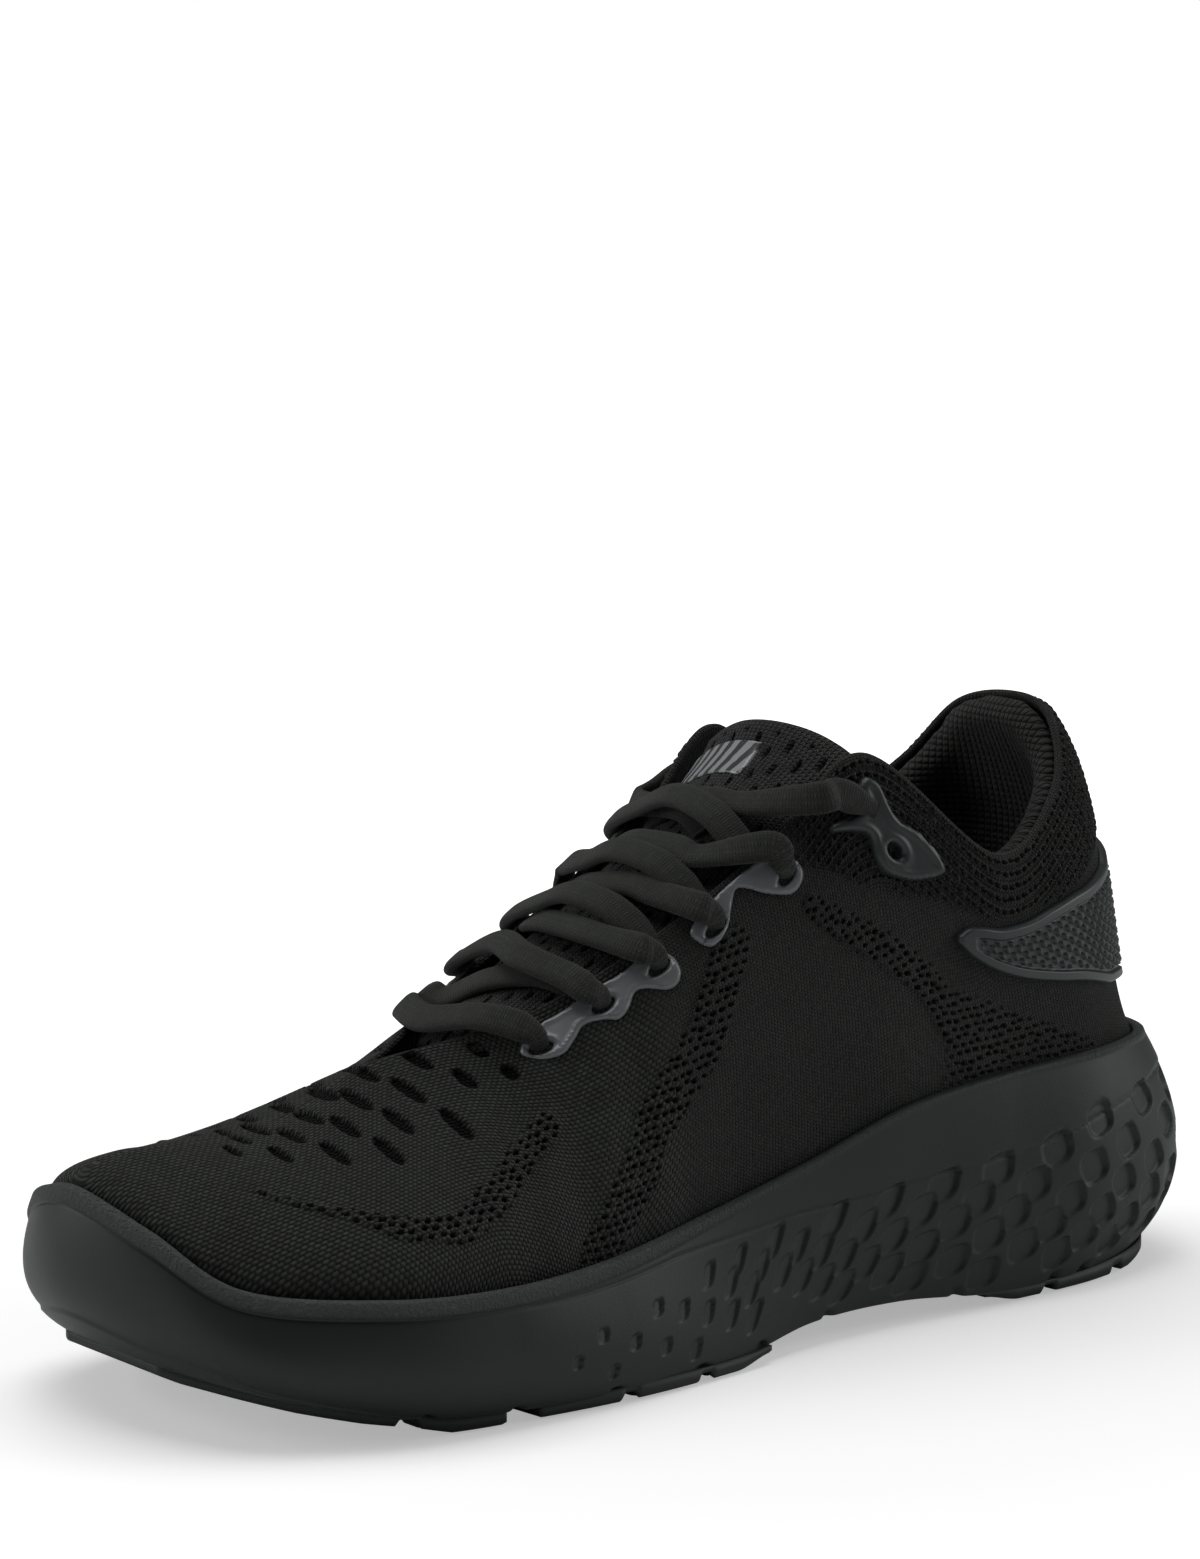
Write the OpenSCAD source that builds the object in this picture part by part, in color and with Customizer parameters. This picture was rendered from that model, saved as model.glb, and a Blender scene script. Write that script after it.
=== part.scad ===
// Running shoe, left foot. +X points to the toe, +Y to the outer side, +Z up.
// The origin is on the ground, under the middle of the shoe.

/* [Overall] */
// Length of the sole from heel to toe
sole_length = 263; // [252:1:274]
// Widest width of the sole, across the ball of the foot
sole_width = 96.6; // [93:0.1:100]

/* [Sole] */
// Thickness of the rubber tread pads
tread_t = 2; // [1.6:0.1:2.2]
// Width of the grooves between tread pads
groove_w = 4; // [3:0.5:6]
// Width of the rim of the foam midsole around the upper
rim_w = 2.15; // [1.9:0.05:2.2]
// Thickness of the board sewn to the bottom of the upper
board_t = 1; // [0.6:0.1:1.2]
// Thickness of the removable insole
insole_t = 4; // [3:0.5:5]

/* [Upper] */
// Thickness of the knitted upper
knit_t = 1.6; // [1.2:0.1:1.8]
// Thickness of the stiff toe puff inside the toe
puff_t = 0.8; // [0.5:0.1:1]
// Thickness of the heel counter inside the heel
counter_t = 1.2; // [0.8:0.1:1.4]
// Thickness of the foam in the collar, at the top
collar_foam_t = 5; // [3:0.5:6]
// Thickness of the collar lining
lining_t = 0.9; // [0.6:0.1:1.2]
// Thickness of the glossy eyelet films
film_t = 0.6; // [0.4:0.1:0.8]
// Thickness of the moulded clip around the heel
clip_t = 1.3; // [0.8:0.1:1.6]

/* [Laces and tongue] */
// Width of the lace
lace_w = 7.6; // [6:0.2:8]
// Thickness of the lace
lace_t = 3; // [2.4:0.1:3.2]
// Thickness of the knitted face of the tongue
tongue_t = 1.4; // [1:0.1:1.6]
// Thickness of the foam behind the tongue
tongue_foam_t = 3; // [2:0.5:4]

/* [Joints] */
// Distance from the origin to the line where the sole bends
flex_x = 66; // [62:1:70]
// Height of the line where the sole bends
flex_z = 8; // [6:1:10]
// Half the angle kept free for the bend, in degrees
flex_half = 16; // [15.5:0.5:18]

/* [Hidden] */
$fn = 48;

// Rows run from the toe tip to the heel: distance forward, outer edge, inner edge, height.
ground_rows = [
    [122.5, -6, -6, 14.9], [116.5, 14, -24, 11.9], [102.5, 32, -37, 7.9], [83.5, 43, -43.5, 4],
    [61.5, 46, -43, 2.4], [35.5, 46, -36, 2.4], [7.5, 42, -30, 2.4], [-16.5, 36, -26, 4.7],
    [-40.5, 34, -26.5, 4.7], [-66.5, 34, -29, 2.4], [-92.5, 31.5, -29, 2.6], [-113.5, 22.5, -21, 4.6],
    [-121.5, 0, 0, 6.4]
];
wall_rows = [
    [134.5, -8, -8, 25], [128.5, 18, -31, 19], [116.5, 38, -45, 12], [89.5, 51, -50, 10],
    [61.5, 52, -49.5, 9], [34.5, 49, -42, 9], [7.5, 42, -35, 11], [-16.5, 38.5, -32, 14],
    [-40.5, 37.5, -31.5, 16], [-66.5, 39.5, -34, 17], [-96.5, 41, -37, 18], [-130.5, 29, -27, 19],
    [-142.5, 0, 0, 20]
];
rim_rows = [
    [128, -6, -6, 44.6], [124, 14, -24, 39.3], [113.5, 30, -37, 29.6], [90.5, 44, -44, 27],
    [64.5, 46.5, -42.5, 25.8], [37.5, 42.5, -37.5, 26.4], [9.5, 37.5, -32, 30.5], [-16.5, 35.5, -30, 36.5],
    [-42.5, 34.8, -29.5, 44], [-68.5, 33.5, -30, 47], [-96.5, 31, -28, 48], [-117.5, 19.5, -18.5, 47.8],
    [-124, 0, 0, 47.5]
];
// The top edge of the upper: the crest over the toes, the throat, then the collar.
crest_rows = [
    [112.5, -6, -6, 49.5], [109.5, -6, -6, 50], [101.5, -5.5, -5.5, 50.3], [85.5, -5, -5, 51.3],
    [63.5, -4, -4, 59.5], [38.5, 13.5, -14.5, 68.5], [9.5, 19, -19.5, 82], [-18.5, 21.5, -22, 99],
    [-38.5, 24, -25, 113.5], [-67.5, 30.3, -29.5, 91.3], [-88.5, 24, -26.5, 101.5],
    [-97.5, 13, -17.5, 114.5], [-99.5, 0, 0, 118]
];
// How the upper bulges between the two: outward and up at the rim, outward and up at the crest.
bulge_rows = [
    [0, 4, 6, 0], [0, 5, 8, 0], [0.5, 8, 12, -0.8], [1, 11, 20, -1.5], [1.5, 15, 18, -4],
    [2, 16, 12, -9], [1, 20, 9, -12], [0, 22, 7, -14], [-0.5, 22, 5, -20], [0, 14, 3.5, -12],
    [-2, 14, 7, -14], [-7, 15, 12, -16], [-8, 15, 13, -16]
];
// Height of the floor inside the midsole cup at each row
floor_z = [25, 23.5, 20, 18, 17, 17.5, 19.5, 22, 24.5, 25.8, 26, 26, 26];

// The rows are drawn for a shoe of this size, and stretched to the driving sizes.
drawn_length = 262.95;
drawn_width = 96.6;
centre = [1.19, -0.95];
stretch = [sole_length / drawn_length, sole_width / drawn_width, 1];

rows_n = len(rim_rows);
loop_n = 2 * rows_n - 2;
last = rows_n - 1;
stations = 72;
half = stations / 2;
step = loop_n / stations;

function spot(row, side) = [
    (row[0] + centre[0]) * stretch[0],
    ((side > 0 ? row[1] : row[2]) + centre[1]) * stretch[1],
    row[3]
];
// A closed loop of control points: out along the outer side and back along the inner side.
function loop_of(rows) = concat(
    [for (r = rows) spot(r, 1)],
    [for (i = [last - 1:-1:1]) spot(rows[i], -1)]
);
function mirror_rows(rows) = concat(rows, [for (i = [last - 1:-1:1]) rows[i]]);

ground = loop_of(ground_rows);
wall = loop_of(wall_rows);
rim = loop_of(rim_rows);
crest = loop_of(crest_rows);
bulge = mirror_rows(bulge_rows);
floors = mirror_rows(floor_z);

// Smooth curve through four neighbouring values
function ease(a, b, c, d, t) = 0.5 * (2 * b + (c - a) * t
    + (2 * a - 5 * b + 4 * c - d) * t * t
    + (3 * b - a - 3 * c + d) * t * t * t);
function bezier(p, u) =
    pow(1 - u, 3) * p[0] + 3 * u * pow(1 - u, 2) * p[1] + 3 * u * u * (1 - u) * p[2] + pow(u, 3) * p[3];
function along(list, s) = let (
    i = floor(s), n = len(list)
) ease(list[(i - 1 + n) % n], list[i % n], list[(i + 1) % n], list[(i + 2) % n], s - i);

// Outward direction of the rim, seen from above
function outward(s) = let (
    d = along(rim, s + 0.01 + loop_n) - along(rim, s - 0.01 + loop_n), m = norm([d.x, d.y])
) [d.y / m, -d.x / m, 0];
function inset(s, by) = along(rim, s) - outward(s) * by;
function low(p, z) = [p.x, p.y, z];

// Sidewall of the midsole, from the ground edge (t = 0) to the rim (t = 1)
function side(s, t) =
    pow(1 - t, 2) * along(ground, s) + 2 * t * (1 - t) * along(wall, s) + t * t * along(rim, s);

// ---- Midsole ----
wall_steps = 5;
function cup_ring(s) = concat(
    [for (k = [0:wall_steps]) side(s, k / wall_steps)],
    [inset(s, rim_w), low(inset(s, rim_w + 0.35), along(floors, s))]
);
cup_m = wall_steps + 3;
// A solid from a closed loop of rings: the first and last points of the rings close across.
module ring_solid(rings) {
    n = len(rings);
    m = len(rings[0]);
    points = [for (r = rings) each r];
    shell = [for (i = [0:n - 1], j = [0:m - 2]) let (i2 = (i + 1) % n)
        each [[i * m + j, i * m + j + 1, i2 * m + j + 1], [i * m + j, i2 * m + j + 1, i2 * m + j]]];
    // Each end of the rings is closed by bridges from the outer side to the inner side.
    function cross_faces(j, flip) = [for (i = [0:n / 2 - 1]) let (
        a = i * m + j,
        b = (i + 1) * m + j,
        c = ((n - i - 1) % n) * m + j,
        d = ((n - i) % n) * m + j
    ) each concat(
        b == c ? [] : [flip ? [b, a, c] : [a, b, c]],
        a == d ? [] : [flip ? [c, a, d] : [a, c, d]]
    )];
    polyhedron(points, concat(shell, cross_faces(0, false), cross_faces(m - 1, true)));
}
module midsole() {
    ring_solid([for (i = [0:stations - 1]) cup_ring(i * step)]);
}

// ---- Zones on each side of the bend ----
far = 200;
flex_gap = 2;
function lean(z, dir) = flex_x + dir * (flex_gap + max(0, z - flex_z) * tan(flex_half));
module upright(points) {
    rotate([90, 0, 0])
        translate([0, 0, -far / 2])
            linear_extrude(far) polygon(points);
}
module behind_bend(gap) {
    upright([[-far, -10], [lean(0, -1) - gap, -10], [lean(0, -1) - gap, flex_z],
        [lean(150, -1) - gap, 150], [-far, 150]]);
}
module ahead_of_bend(gap) {
    upright([[far, -10], [far, 150], [lean(150, 1) + gap, 150], [lean(0, 1) + gap, flex_z],
        [lean(0, 1) + gap, -10]]);
}
module within_bend() {
    upright([[lean(0, -1), -10], [lean(0, 1), -10], [lean(0, 1), flex_z], [lean(150, 1), 150],
        [lean(150, -1), 150], [lean(0, -1), flex_z]]);
}

module midsole_rearfoot() {
    color([0.17, 0.18, 0.18]) intersection() {
        midsole();
        behind_bend(0.1);
    }
}
module midsole_flex_zone() {
    color([0.19, 0.2, 0.2]) intersection() {
        midsole();
        within_bend();
    }
}
module midsole_forefoot() {
    color([0.2, 0.21, 0.21]) intersection() {
        midsole();
        ahead_of_bend(0.1);
    }
}

// ---- Outsole ----
pad_inset = 1;
module sole_plan(by) {
    linear_extrude(60)
        polygon([for (i = [0:stations - 1]) let (p = along(ground, i * step), o = outward(i * step)) [
            p.x - o.x * by, p.y - o.y * by]]);
}
// A band of even thickness that follows the underside of the sole
module tread_band(line) {
    upright(concat(line, [for (i = [len(line) - 1:-1:0]) line[i] + [0, tread_t]]));
}
module grooves(places, lean_deg) {
    for (x = places)
        translate([x, 0, -1]) rotate([0, 0, lean_deg])
            translate([-groove_w / 2, -far / 2, 0]) cube([groove_w, far, 30]);
}
module outsole_heel() {
    color([0.15, 0.16, 0.16]) difference() {
        intersection() {
            tread_band([[-119, 3.6], [-113, 1.9], [-106, 0.4], [-100, 0], [-58, 0]]);
            sole_plan(pad_inset);
        }
        grooves([-98, -76], 6);
        translate([-92, -3, -1]) cube([40, 6, 10]);
    }
}
module outsole_forefoot() {
    color([0.15, 0.16, 0.16]) difference() {
        intersection() {
            translate([2, -far / 2, 0]) cube([flex_x - 2 * flex_gap - 2, far, tread_t]);
            sole_plan(pad_inset);
        }
        grooves([22, 42], 12);
    }
}
module outsole_toe() {
    color([0.15, 0.16, 0.16]) difference() {
        intersection() {
            tread_band([[flex_x + 2 * flex_gap, 0], [77, 0], [84, 1.6], [93, 3], [103, 5.1],
                [110, 7.1], [117, 9.2], [121, 11]]);
            sole_plan(pad_inset);
        }
        grooves([88], 10);
    }
}

// ---- Upper: ribs rise from the rim to the crest ----
rim_clear = 0.25;
ridge_end = 4;
// Over the toes both sides meet in one crest line; behind that they part at the throat.
function top_at(s) = let (a = along(crest, s), b = along(crest, loop_n - s))
    (s <= ridge_end || s >= loop_n - ridge_end) ? (a + b) / 2 : a;
function rib(s, t) = let (
    out = outward(s),
    h = along(bulge, s),
    p0 = inset(s, rim_w + rim_clear),
    p3 = top_at(s),
    p1 = p0 + out * h[0] + [0, 0, h[1]],
    p2 = p3 + out * h[2] + [0, 0, h[3]]
) bezier([p0, p1, p2, p3], t);
nudge = 0.02;
function rib_normal(s, t) = let (
    u = min(t, 1 - 2 * nudge),
    before = s < nudge ? s - nudge + loop_n : s - nudge,
    forward = rib(s + nudge, u) - rib(before, u),
    upward = rib(s, u + nudge) - rib(s, max(u - nudge, 0)),
    v = cross(forward, upward)
) v / norm(v);
// A point of the upper, moved inward by d. Below the rim (t < 0) it hangs down to the cup floor.
function skin(s, t, d) = t < 0
    ? low(inset(s, rim_w + rim_clear + 0.4 + d), along(floors, s) + 0.4)
    : rib(s, t) - rib_normal(s, t) * d;

// Two triangles over the corners a, b, c, d of a cell
function cell(a, b, c, d) = [[a, b, c], [a, c, d]];
// A closed sheet between two grids of points
module sheet(top, under) {
    n = len(top);
    m = len(top[0]);
    k = n * m;
    end = (n - 1) * m;
    points = concat([for (r = top) each r], [for (r = under) each r]);
    outer = [for (i = [0:n - 2], j = [0:m - 2]) let (a = i * m + j) each cell(a, a + 1, a + m + 1, a + m)];
    inner = [for (i = [0:n - 2], j = [0:m - 2])
        let (a = k + i * m + j) each cell(a, a + m, a + m + 1, a + 1)];
    bottom_edge = [for (i = [0:n - 2]) let (a = i * m) each cell(a, a + m, a + m + k, a + k)];
    top_edge = [for (i = [1:n - 1]) let (a = i * m - 1) each cell(a, a + k, a + m + k, a + m)];
    first_end = [for (j = [0:m - 2]) each cell(j, j + k, j + k + 1, j + 1)];
    last_end = [for (j = [0:m - 2]) let (a = end + j) each cell(a, a + 1, a + k + 1, a + k)];
    polyhedron(points, concat(outer, inner, bottom_edge, top_edge, first_end, last_end));
}
function range(a, b, n) = [for (i = [0:n]) a + (b - a) * i / n];
// A sheet on the upper between two depths; lo and hi give its lower and upper edge at each rib.
module on_upper(ss, lo, hi, cells, d0, d1) {
    function grid(depth) =
        [for (s = ss) [for (v = range(0, 1, cells)) skin(s, lo(s) + (hi(s) - lo(s)) * v, depth(v))]];
    sheet(grid(d0), grid(d1));
}

levels = [-1, 0, 0.12, 0.28, 0.45, 0.62, 0.8, 1];
module whole_upper() {
    m = len(levels);
    k = stations * m;
    open_from = ridge_end / step;
    // The crest over the toes is shared by both sides.
    function id(i, j) = let (w = i % stations)
        (j == m - 1 && w > half && stations - w <= open_from ? stations - w : w) * m + j;
    is_open = [for (i = [0:stations - 1]) i >= open_from && i < stations - open_from];
    points = concat(
        [for (i = [0:stations - 1], t = levels) skin(i * step, t, 0)],
        [for (i = [0:stations - 1], t = levels) skin(i * step, t, knit_t)]
    );
    function around(i, j) = [id(i, j), id(i, j + 1), id(i + 1, j + 1), id(i + 1, j)];
    outer = [for (i = [0:stations - 1], j = [0:m - 2]) let (q = around(i, j))
        each cell(q[0], q[1], q[2], q[3])];
    inner = [for (i = [0:stations - 1], j = [0:m - 2]) let (q = around(i, j))
        each cell(k + q[0], k + q[3], k + q[2], k + q[1])];
    hem = [for (i = [0:stations - 1]) let (a = id(i, 0), b = id(i + 1, 0)) each cell(a, b, b + k, a + k)];
    topline = [for (i = [0:stations - 1]) if (is_open[i]) let (a = id(i, m - 1), b = id(i + 1, m - 1))
        each cell(a, a + k, b + k, b)];
    polyhedron(points, concat(outer, inner, hem, topline));
}
module upper_quarters() {
    color([0.09, 0.095, 0.09]) intersection() {
        whole_upper();
        behind_bend(0.1);
    }
}
module upper_flex_zone() {
    color([0.1, 0.105, 0.1]) intersection() {
        whole_upper();
        within_bend();
    }
}
module upper_toe_box() {
    color([0.11, 0.115, 0.11]) intersection() {
        whole_upper();
        ahead_of_bend(0.1);
    }
}

// ---- Boards inside the cup ----
module floor_plate(by, up, t) {
    rings = [for (i = [0:stations - 1]) let (s = i * step, p = inset(s, by), z = along(floors, s) + up)
        [low(p, z), low(p, z + t)]];
    ring_solid(rings);
}
board_inset = 9.9;
module strobel() {
    floor_plate(board_inset, 0.3, board_t);
}
module insole() {
    floor_plate(board_inset + 0.2, board_t + 0.6, insole_t);
}
module strobel_board_rear() {
    color([0.75, 0.75, 0.72]) intersection() {
        strobel();
        behind_bend(0.1);
    }
}
module strobel_board_flex_zone() {
    color([0.75, 0.75, 0.72]) intersection() {
        strobel();
        within_bend();
    }
}
module strobel_board_fore() {
    color([0.75, 0.75, 0.72]) intersection() {
        strobel();
        ahead_of_bend(0.1);
    }
}
insole_hinge_x = 22;
module insole_heel() {
    color([0.12, 0.13, 0.13]) intersection() {
        insole();
        translate([-far, -far / 2, 0]) cube([far + insole_hinge_x - 0.6, far, far]);
    }
}
module insole_arch() {
    color([0.12, 0.13, 0.13]) intersection() {
        insole();
        behind_bend(0.1);
        translate([insole_hinge_x + 0.6, -far / 2, 0]) cube([far, far, far]);
    }
}
module insole_flex_zone() {
    color([0.12, 0.13, 0.13]) intersection() {
        insole();
        within_bend();
    }
}
module insole_toe() {
    color([0.12, 0.13, 0.13]) intersection() {
        insole();
        ahead_of_bend(0.1);
    }
}

// ---- Stiffeners, foam and lining inside the upper ----
layer_gap = 0.4;
module toe_puff() {
    ss = [for (i = [-8:8]) (i * step + loop_n) % loop_n];
    color([0.8, 0.78, 0.7]) on_upper(ss, function(s) 0.05, function(s) 0.5, 4,
        function(v) knit_t + layer_gap, function(v) knit_t + layer_gap + puff_t);
}
heel_from = 9;
counter_d = knit_t + layer_gap;
module heel_counter() {
    ss = [for (i = [heel_from / step:(loop_n - heel_from) / step]) i * step];
    color([0.85, 0.83, 0.76]) union() {
        for (band = [[0, 0.5, 4], [-1, 0, 1]])
            on_upper(ss, function(s) band[0], function(s) band[1], band[2],
                function(v) counter_d, function(v) counter_d + counter_t);
    }
}
collar_from = 8.667;
foam_d = counter_d + counter_t + layer_gap;
collar_ss = [for (i = [round(collar_from / step):round((loop_n - collar_from) / step)]) i * step];
function puffed(v) = 1 + (collar_foam_t - 1) * pow(sin(90 * v), 1.5);
module collar_foam() {
    color([0.3, 0.3, 0.3]) on_upper(collar_ss, function(s) 0.15, function(s) 0.97, 6,
        function(v) foam_d, function(v) foam_d + puffed(v));
}
module collar_lining() {
    color([0.13, 0.14, 0.13]) on_upper(collar_ss, function(s) 0.02, function(s) 1, 6,
        function(v) foam_d + layer_gap + (v < 0.1 ? 1 : puffed(v)),
        function(v) foam_d + layer_gap + lining_t + (v < 0.1 ? 1 : puffed(v)));
}

// ---- Heel clip ----
clip_from = 8.667;
clip_lift = 0.5;
heel_s = 12;
// Share of the way from the clip's tip to the middle of the heel
function clip_way(s) = (min(s, loop_n - s) - clip_from) / (heel_s - clip_from);
function clip_low(s) = 0.17 + 0.33 * pow(max(0, 1 - clip_way(s)), 1.8);
function clip_high(s) = 0.53 + 0.12 * min(1, 3 * clip_way(s)) + 0.03 * clip_way(s);
module heel_clip() {
    ss = [for (i = [round(clip_from / step):round((loop_n - clip_from) / step)]) i * step];
    color([0.27, 0.29, 0.29]) on_upper(ss, function(s) clip_low(s), function(s) clip_high(s), 4,
        function(v) -clip_lift - clip_t, function(v) -clip_lift);
}

// ---- Lacing hardware ----
function ordered(list, side) = side > 0 ? list : [for (i = [len(list) - 1:-1:0]) loop_n - list[i]];
film_lift = 0.5;
module film(side, from, to) {
    ss = ordered(range(from, to, 6), side);
    color([0.4, 0.42, 0.43]) on_upper(ss, function(s) 0.8, function(s) 0.97, 2,
        function(v) -film_lift - film_t, function(v) -film_lift);
}
module eyelet_film_lateral_front() { film(1, 4.87, 6.06); }
module eyelet_film_lateral_rear() { film(1, 6.2, 7.13); }
module eyelet_film_medial_front() { film(-1, 4.87, 6.06); }
module eyelet_film_medial_rear() { film(-1, 6.2, 7.13); }
tape_t = 0.5;
tape_gap = 0.5;
module tape(side) {
    ss = ordered(range(5.333, 8.333, 9), side);
    color([0.2, 0.2, 0.2]) on_upper(ss, function(s) 0.76, function(s) 0.9, 1,
        function(v) knit_t + tape_gap, function(v) knit_t + tape_gap + tape_t);
}
module eyestay_tape_lateral() { tape(1); }
module eyestay_tape_medial() { tape(-1); }
loop_t = 2.2;
module lace_loop(side) {
    ss = ordered(range(7.9, 8.45, 3), side);
    color([0.16, 0.18, 0.18]) on_upper(ss, function(s) 0.66, function(s) 0.9, 3,
        function(v) -film_lift - loop_t, function(v) -film_lift);
}
module lace_loop_lateral() { lace_loop(1); }
module lace_loop_medial() { lace_loop(-1); }

// ---- Tongue: an arched strip under the throat ----
// Rows run from the toe end to the top: distance forward, height of the middle, half width.
tongue_rows = [
    [47, 60, 6], [38.5, 67.5, 12], [24, 77.3, 15.5], [9.5, 85.3, 17.5], [-4.5, 94.5, 18.4],
    [-18.5, 104.1, 19], [-26.5, 112, 19.6], [-30.5, 119, 19]
];
tongue_arch = 0.0185;
tongue_n = len(tongue_rows) - 1;
function tongue_at(a) = let (n = tongue_n, i = min(floor(a), n - 1))
    ease(tongue_rows[max(i - 1, 0)], tongue_rows[i], tongue_rows[i + 1], tongue_rows[min(i + 2, n)], a - i);
function tongue_point(a, b, depth, trim) = let (
    r = tongue_at(a),
    r2 = tongue_at(min(a + 0.02, tongue_n)),
    r1 = tongue_at(min(a + 0.02, tongue_n) - 0.02),
    dir = [r2.x - r1.x, r2.y - r1.y],
    dn = [-dir.y, dir.x] / norm(dir),
    y = b * (r.z - trim)
) [r.x + centre[0] + dn.x * depth, y, r.y - tongue_arch * y * y + dn.y * depth];
function tongue_grid(a0, a1, depth, trim) =
    [for (a = range(a0, a1, round((a1 - a0) * 2)))
        [for (b = range(-1, 1, 6)) tongue_point(a, b, depth, trim)]];
fold_x = -26;
fold_turn = 8;
fold_gap = 1.4;
fold_side_y = 13;
// The flap is the middle of the tongue above the top lace; the hinge line runs just behind that lace.
module fold_flap(grow) {
    translate([fold_x, 0, 0]) rotate([0, 0, fold_turn])
        translate([-far - fold_gap + grow, -far + fold_side_y + grow, 0]) cube([far, far, far]);
}
module tongue_sheet(d0, d1, trim) {
    sheet(tongue_grid(0, tongue_n, d1, trim), tongue_grid(0, tongue_n, d0, trim));
}
module tongue_face() {
    color([0.11, 0.115, 0.11]) difference() {
        tongue_sheet(0, tongue_t, 0);
        fold_flap(fold_gap);
    }
}
module tongue_top_face() {
    color([0.11, 0.115, 0.11]) intersection() {
        tongue_sheet(0, tongue_t, 0);
        fold_flap(0);
    }
}
foam_gap = 0.3;
module tongue_foam() {
    color([0.3, 0.3, 0.3]) difference() {
        tongue_sheet(tongue_t + foam_gap, tongue_t + foam_gap + tongue_foam_t, 1.5);
        fold_flap(fold_gap);
        translate([30, -far / 2, 0]) cube([far, far, far]);
    }
}
module tongue_top_foam() {
    color([0.3, 0.3, 0.3]) intersection() {
        tongue_sheet(tongue_t + foam_gap, tongue_t + foam_gap + tongue_foam_t, 1.5);
        fold_flap(0);
    }
}
label_t = 0.4;
label_lift = 0.4;
module tongue_label() {
    function grid(depth) = [for (a = range(6.15, 6.6, 2)) [for (b = range(-0.75, 0.1, 3))
        tongue_point(a, b, depth, 0)]];
    color([0.5, 0.52, 0.53]) sheet(grid(-label_lift), grid(-label_lift - label_t));
}

// ---- Lace ----
eyelets = [[5, 0.84], [5.49, 0.88], [5.93, 0.885], [6.38, 0.875], [6.99, 0.85]];
lace_sides = 8;
function oval(w, t) =
    [for (k = [0:lace_sides - 1]) let (q = 360 * k / lace_sides) [w / 2 * cos(q), t / 2 * sin(q)]];
module strand(p, cells) {
    path = [for (u = range(0, 1, cells)) bezier(p, u)];
    rings = [for (i = [0:cells]) let (
        d = path[min(i + 1, cells)] - path[max(i - 1, 0)],
        dir = d / norm(d),
        c = cross(dir, [0.5, 0, 0.866]),
        across = c / norm(c),
        long = cross(across, dir)
    ) [for (q = oval(lace_w, lace_t)) path[i] + across * q.x + long * q.y]];
    n = len(rings);
    m = lace_sides;
    points = concat([for (r = rings) each r], [path[0], path[cells]]);
    skin_faces = [for (i = [0:n - 2], j = [0:m - 1]) let (j2 = (j + 1) % m)
        each [[i * m + j, (i + 1) * m + j2, (i + 1) * m + j], [i * m + j, i * m + j2, (i + 1) * m + j2]]];
    caps = [for (j = [0:m - 1]) let (j2 = (j + 1) % m)
        each [[j2, j, n * m], [(n - 1) * m + j, (n - 1) * m + j2, n * m + 1]]];
    polyhedron(points, concat(skin_faces, caps));
}
lace_rest = film_lift + film_t + 2.4 + lace_t / 2;
lace_clear = 1.2;
top_bow = 5;
tongue_height = [for (i = [tongue_n:-1:0]) [tongue_rows[i].x + centre[0], tongue_rows[i].y]];
// A strand from one eyelet over the tongue to another. It bows forward by the given distance.
module crossing(s1, t1, s2, t2, bow) {
    a = skin(s1, t1, -lace_rest);
    b = skin(s2, t2, -lace_rest);
    mid = (a + b) / 2;
    crown = max(lookup(mid.x + bow, tongue_height), top_at(s1).z) + lace_clear + lace_t / 2;
    lift = (crown - mid.z) / 0.75;
    lean_out = 0.3 * lift;
    ahead = bow / 0.75;
    strand([a, a + [ahead, lean_out - 4, lift], b + [ahead, 4 - lean_out, lift], b], 10);
}
module lace() {
    color([0.13, 0.14, 0.13]) union() {
        for (e = eyelets)
            crossing(e[0], e[1], loop_n - e[0], e[1], 0);
        crossing(7.5, 0.9, loop_n - 7.35, 0.88, top_bow);
    }
}
tip_r = 1.6;
tip_len = 16;
module lace_tips() {
    color([0.1, 0.1, 0.1]) for (y = [-6, 6])
        translate([2, y, 66]) rotate([0, 64, 0]) cylinder(r = tip_r, h = tip_len, center = true);
}

outsole_heel();
outsole_forefoot();
outsole_toe();
midsole_rearfoot();
midsole_flex_zone();
midsole_forefoot();
strobel_board_rear();
strobel_board_flex_zone();
strobel_board_fore();
insole_heel();
insole_arch();
insole_flex_zone();
insole_toe();
upper_quarters();
upper_flex_zone();
upper_toe_box();
toe_puff();
heel_counter();
heel_clip();
collar_foam();
collar_lining();
eyestay_tape_lateral();
eyestay_tape_medial();
eyelet_film_lateral_front();
eyelet_film_lateral_rear();
eyelet_film_medial_front();
eyelet_film_medial_rear();
lace_loop_lateral();
lace_loop_medial();
tongue_face();
tongue_foam();
tongue_top_face();
tongue_top_foam();
tongue_label();
lace();
lace_tips();
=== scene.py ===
import math

import bpy
import numpy as np
from mathutils import Matrix, Vector
from mathutils.geometry import delaunay_2d_cdt


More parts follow.
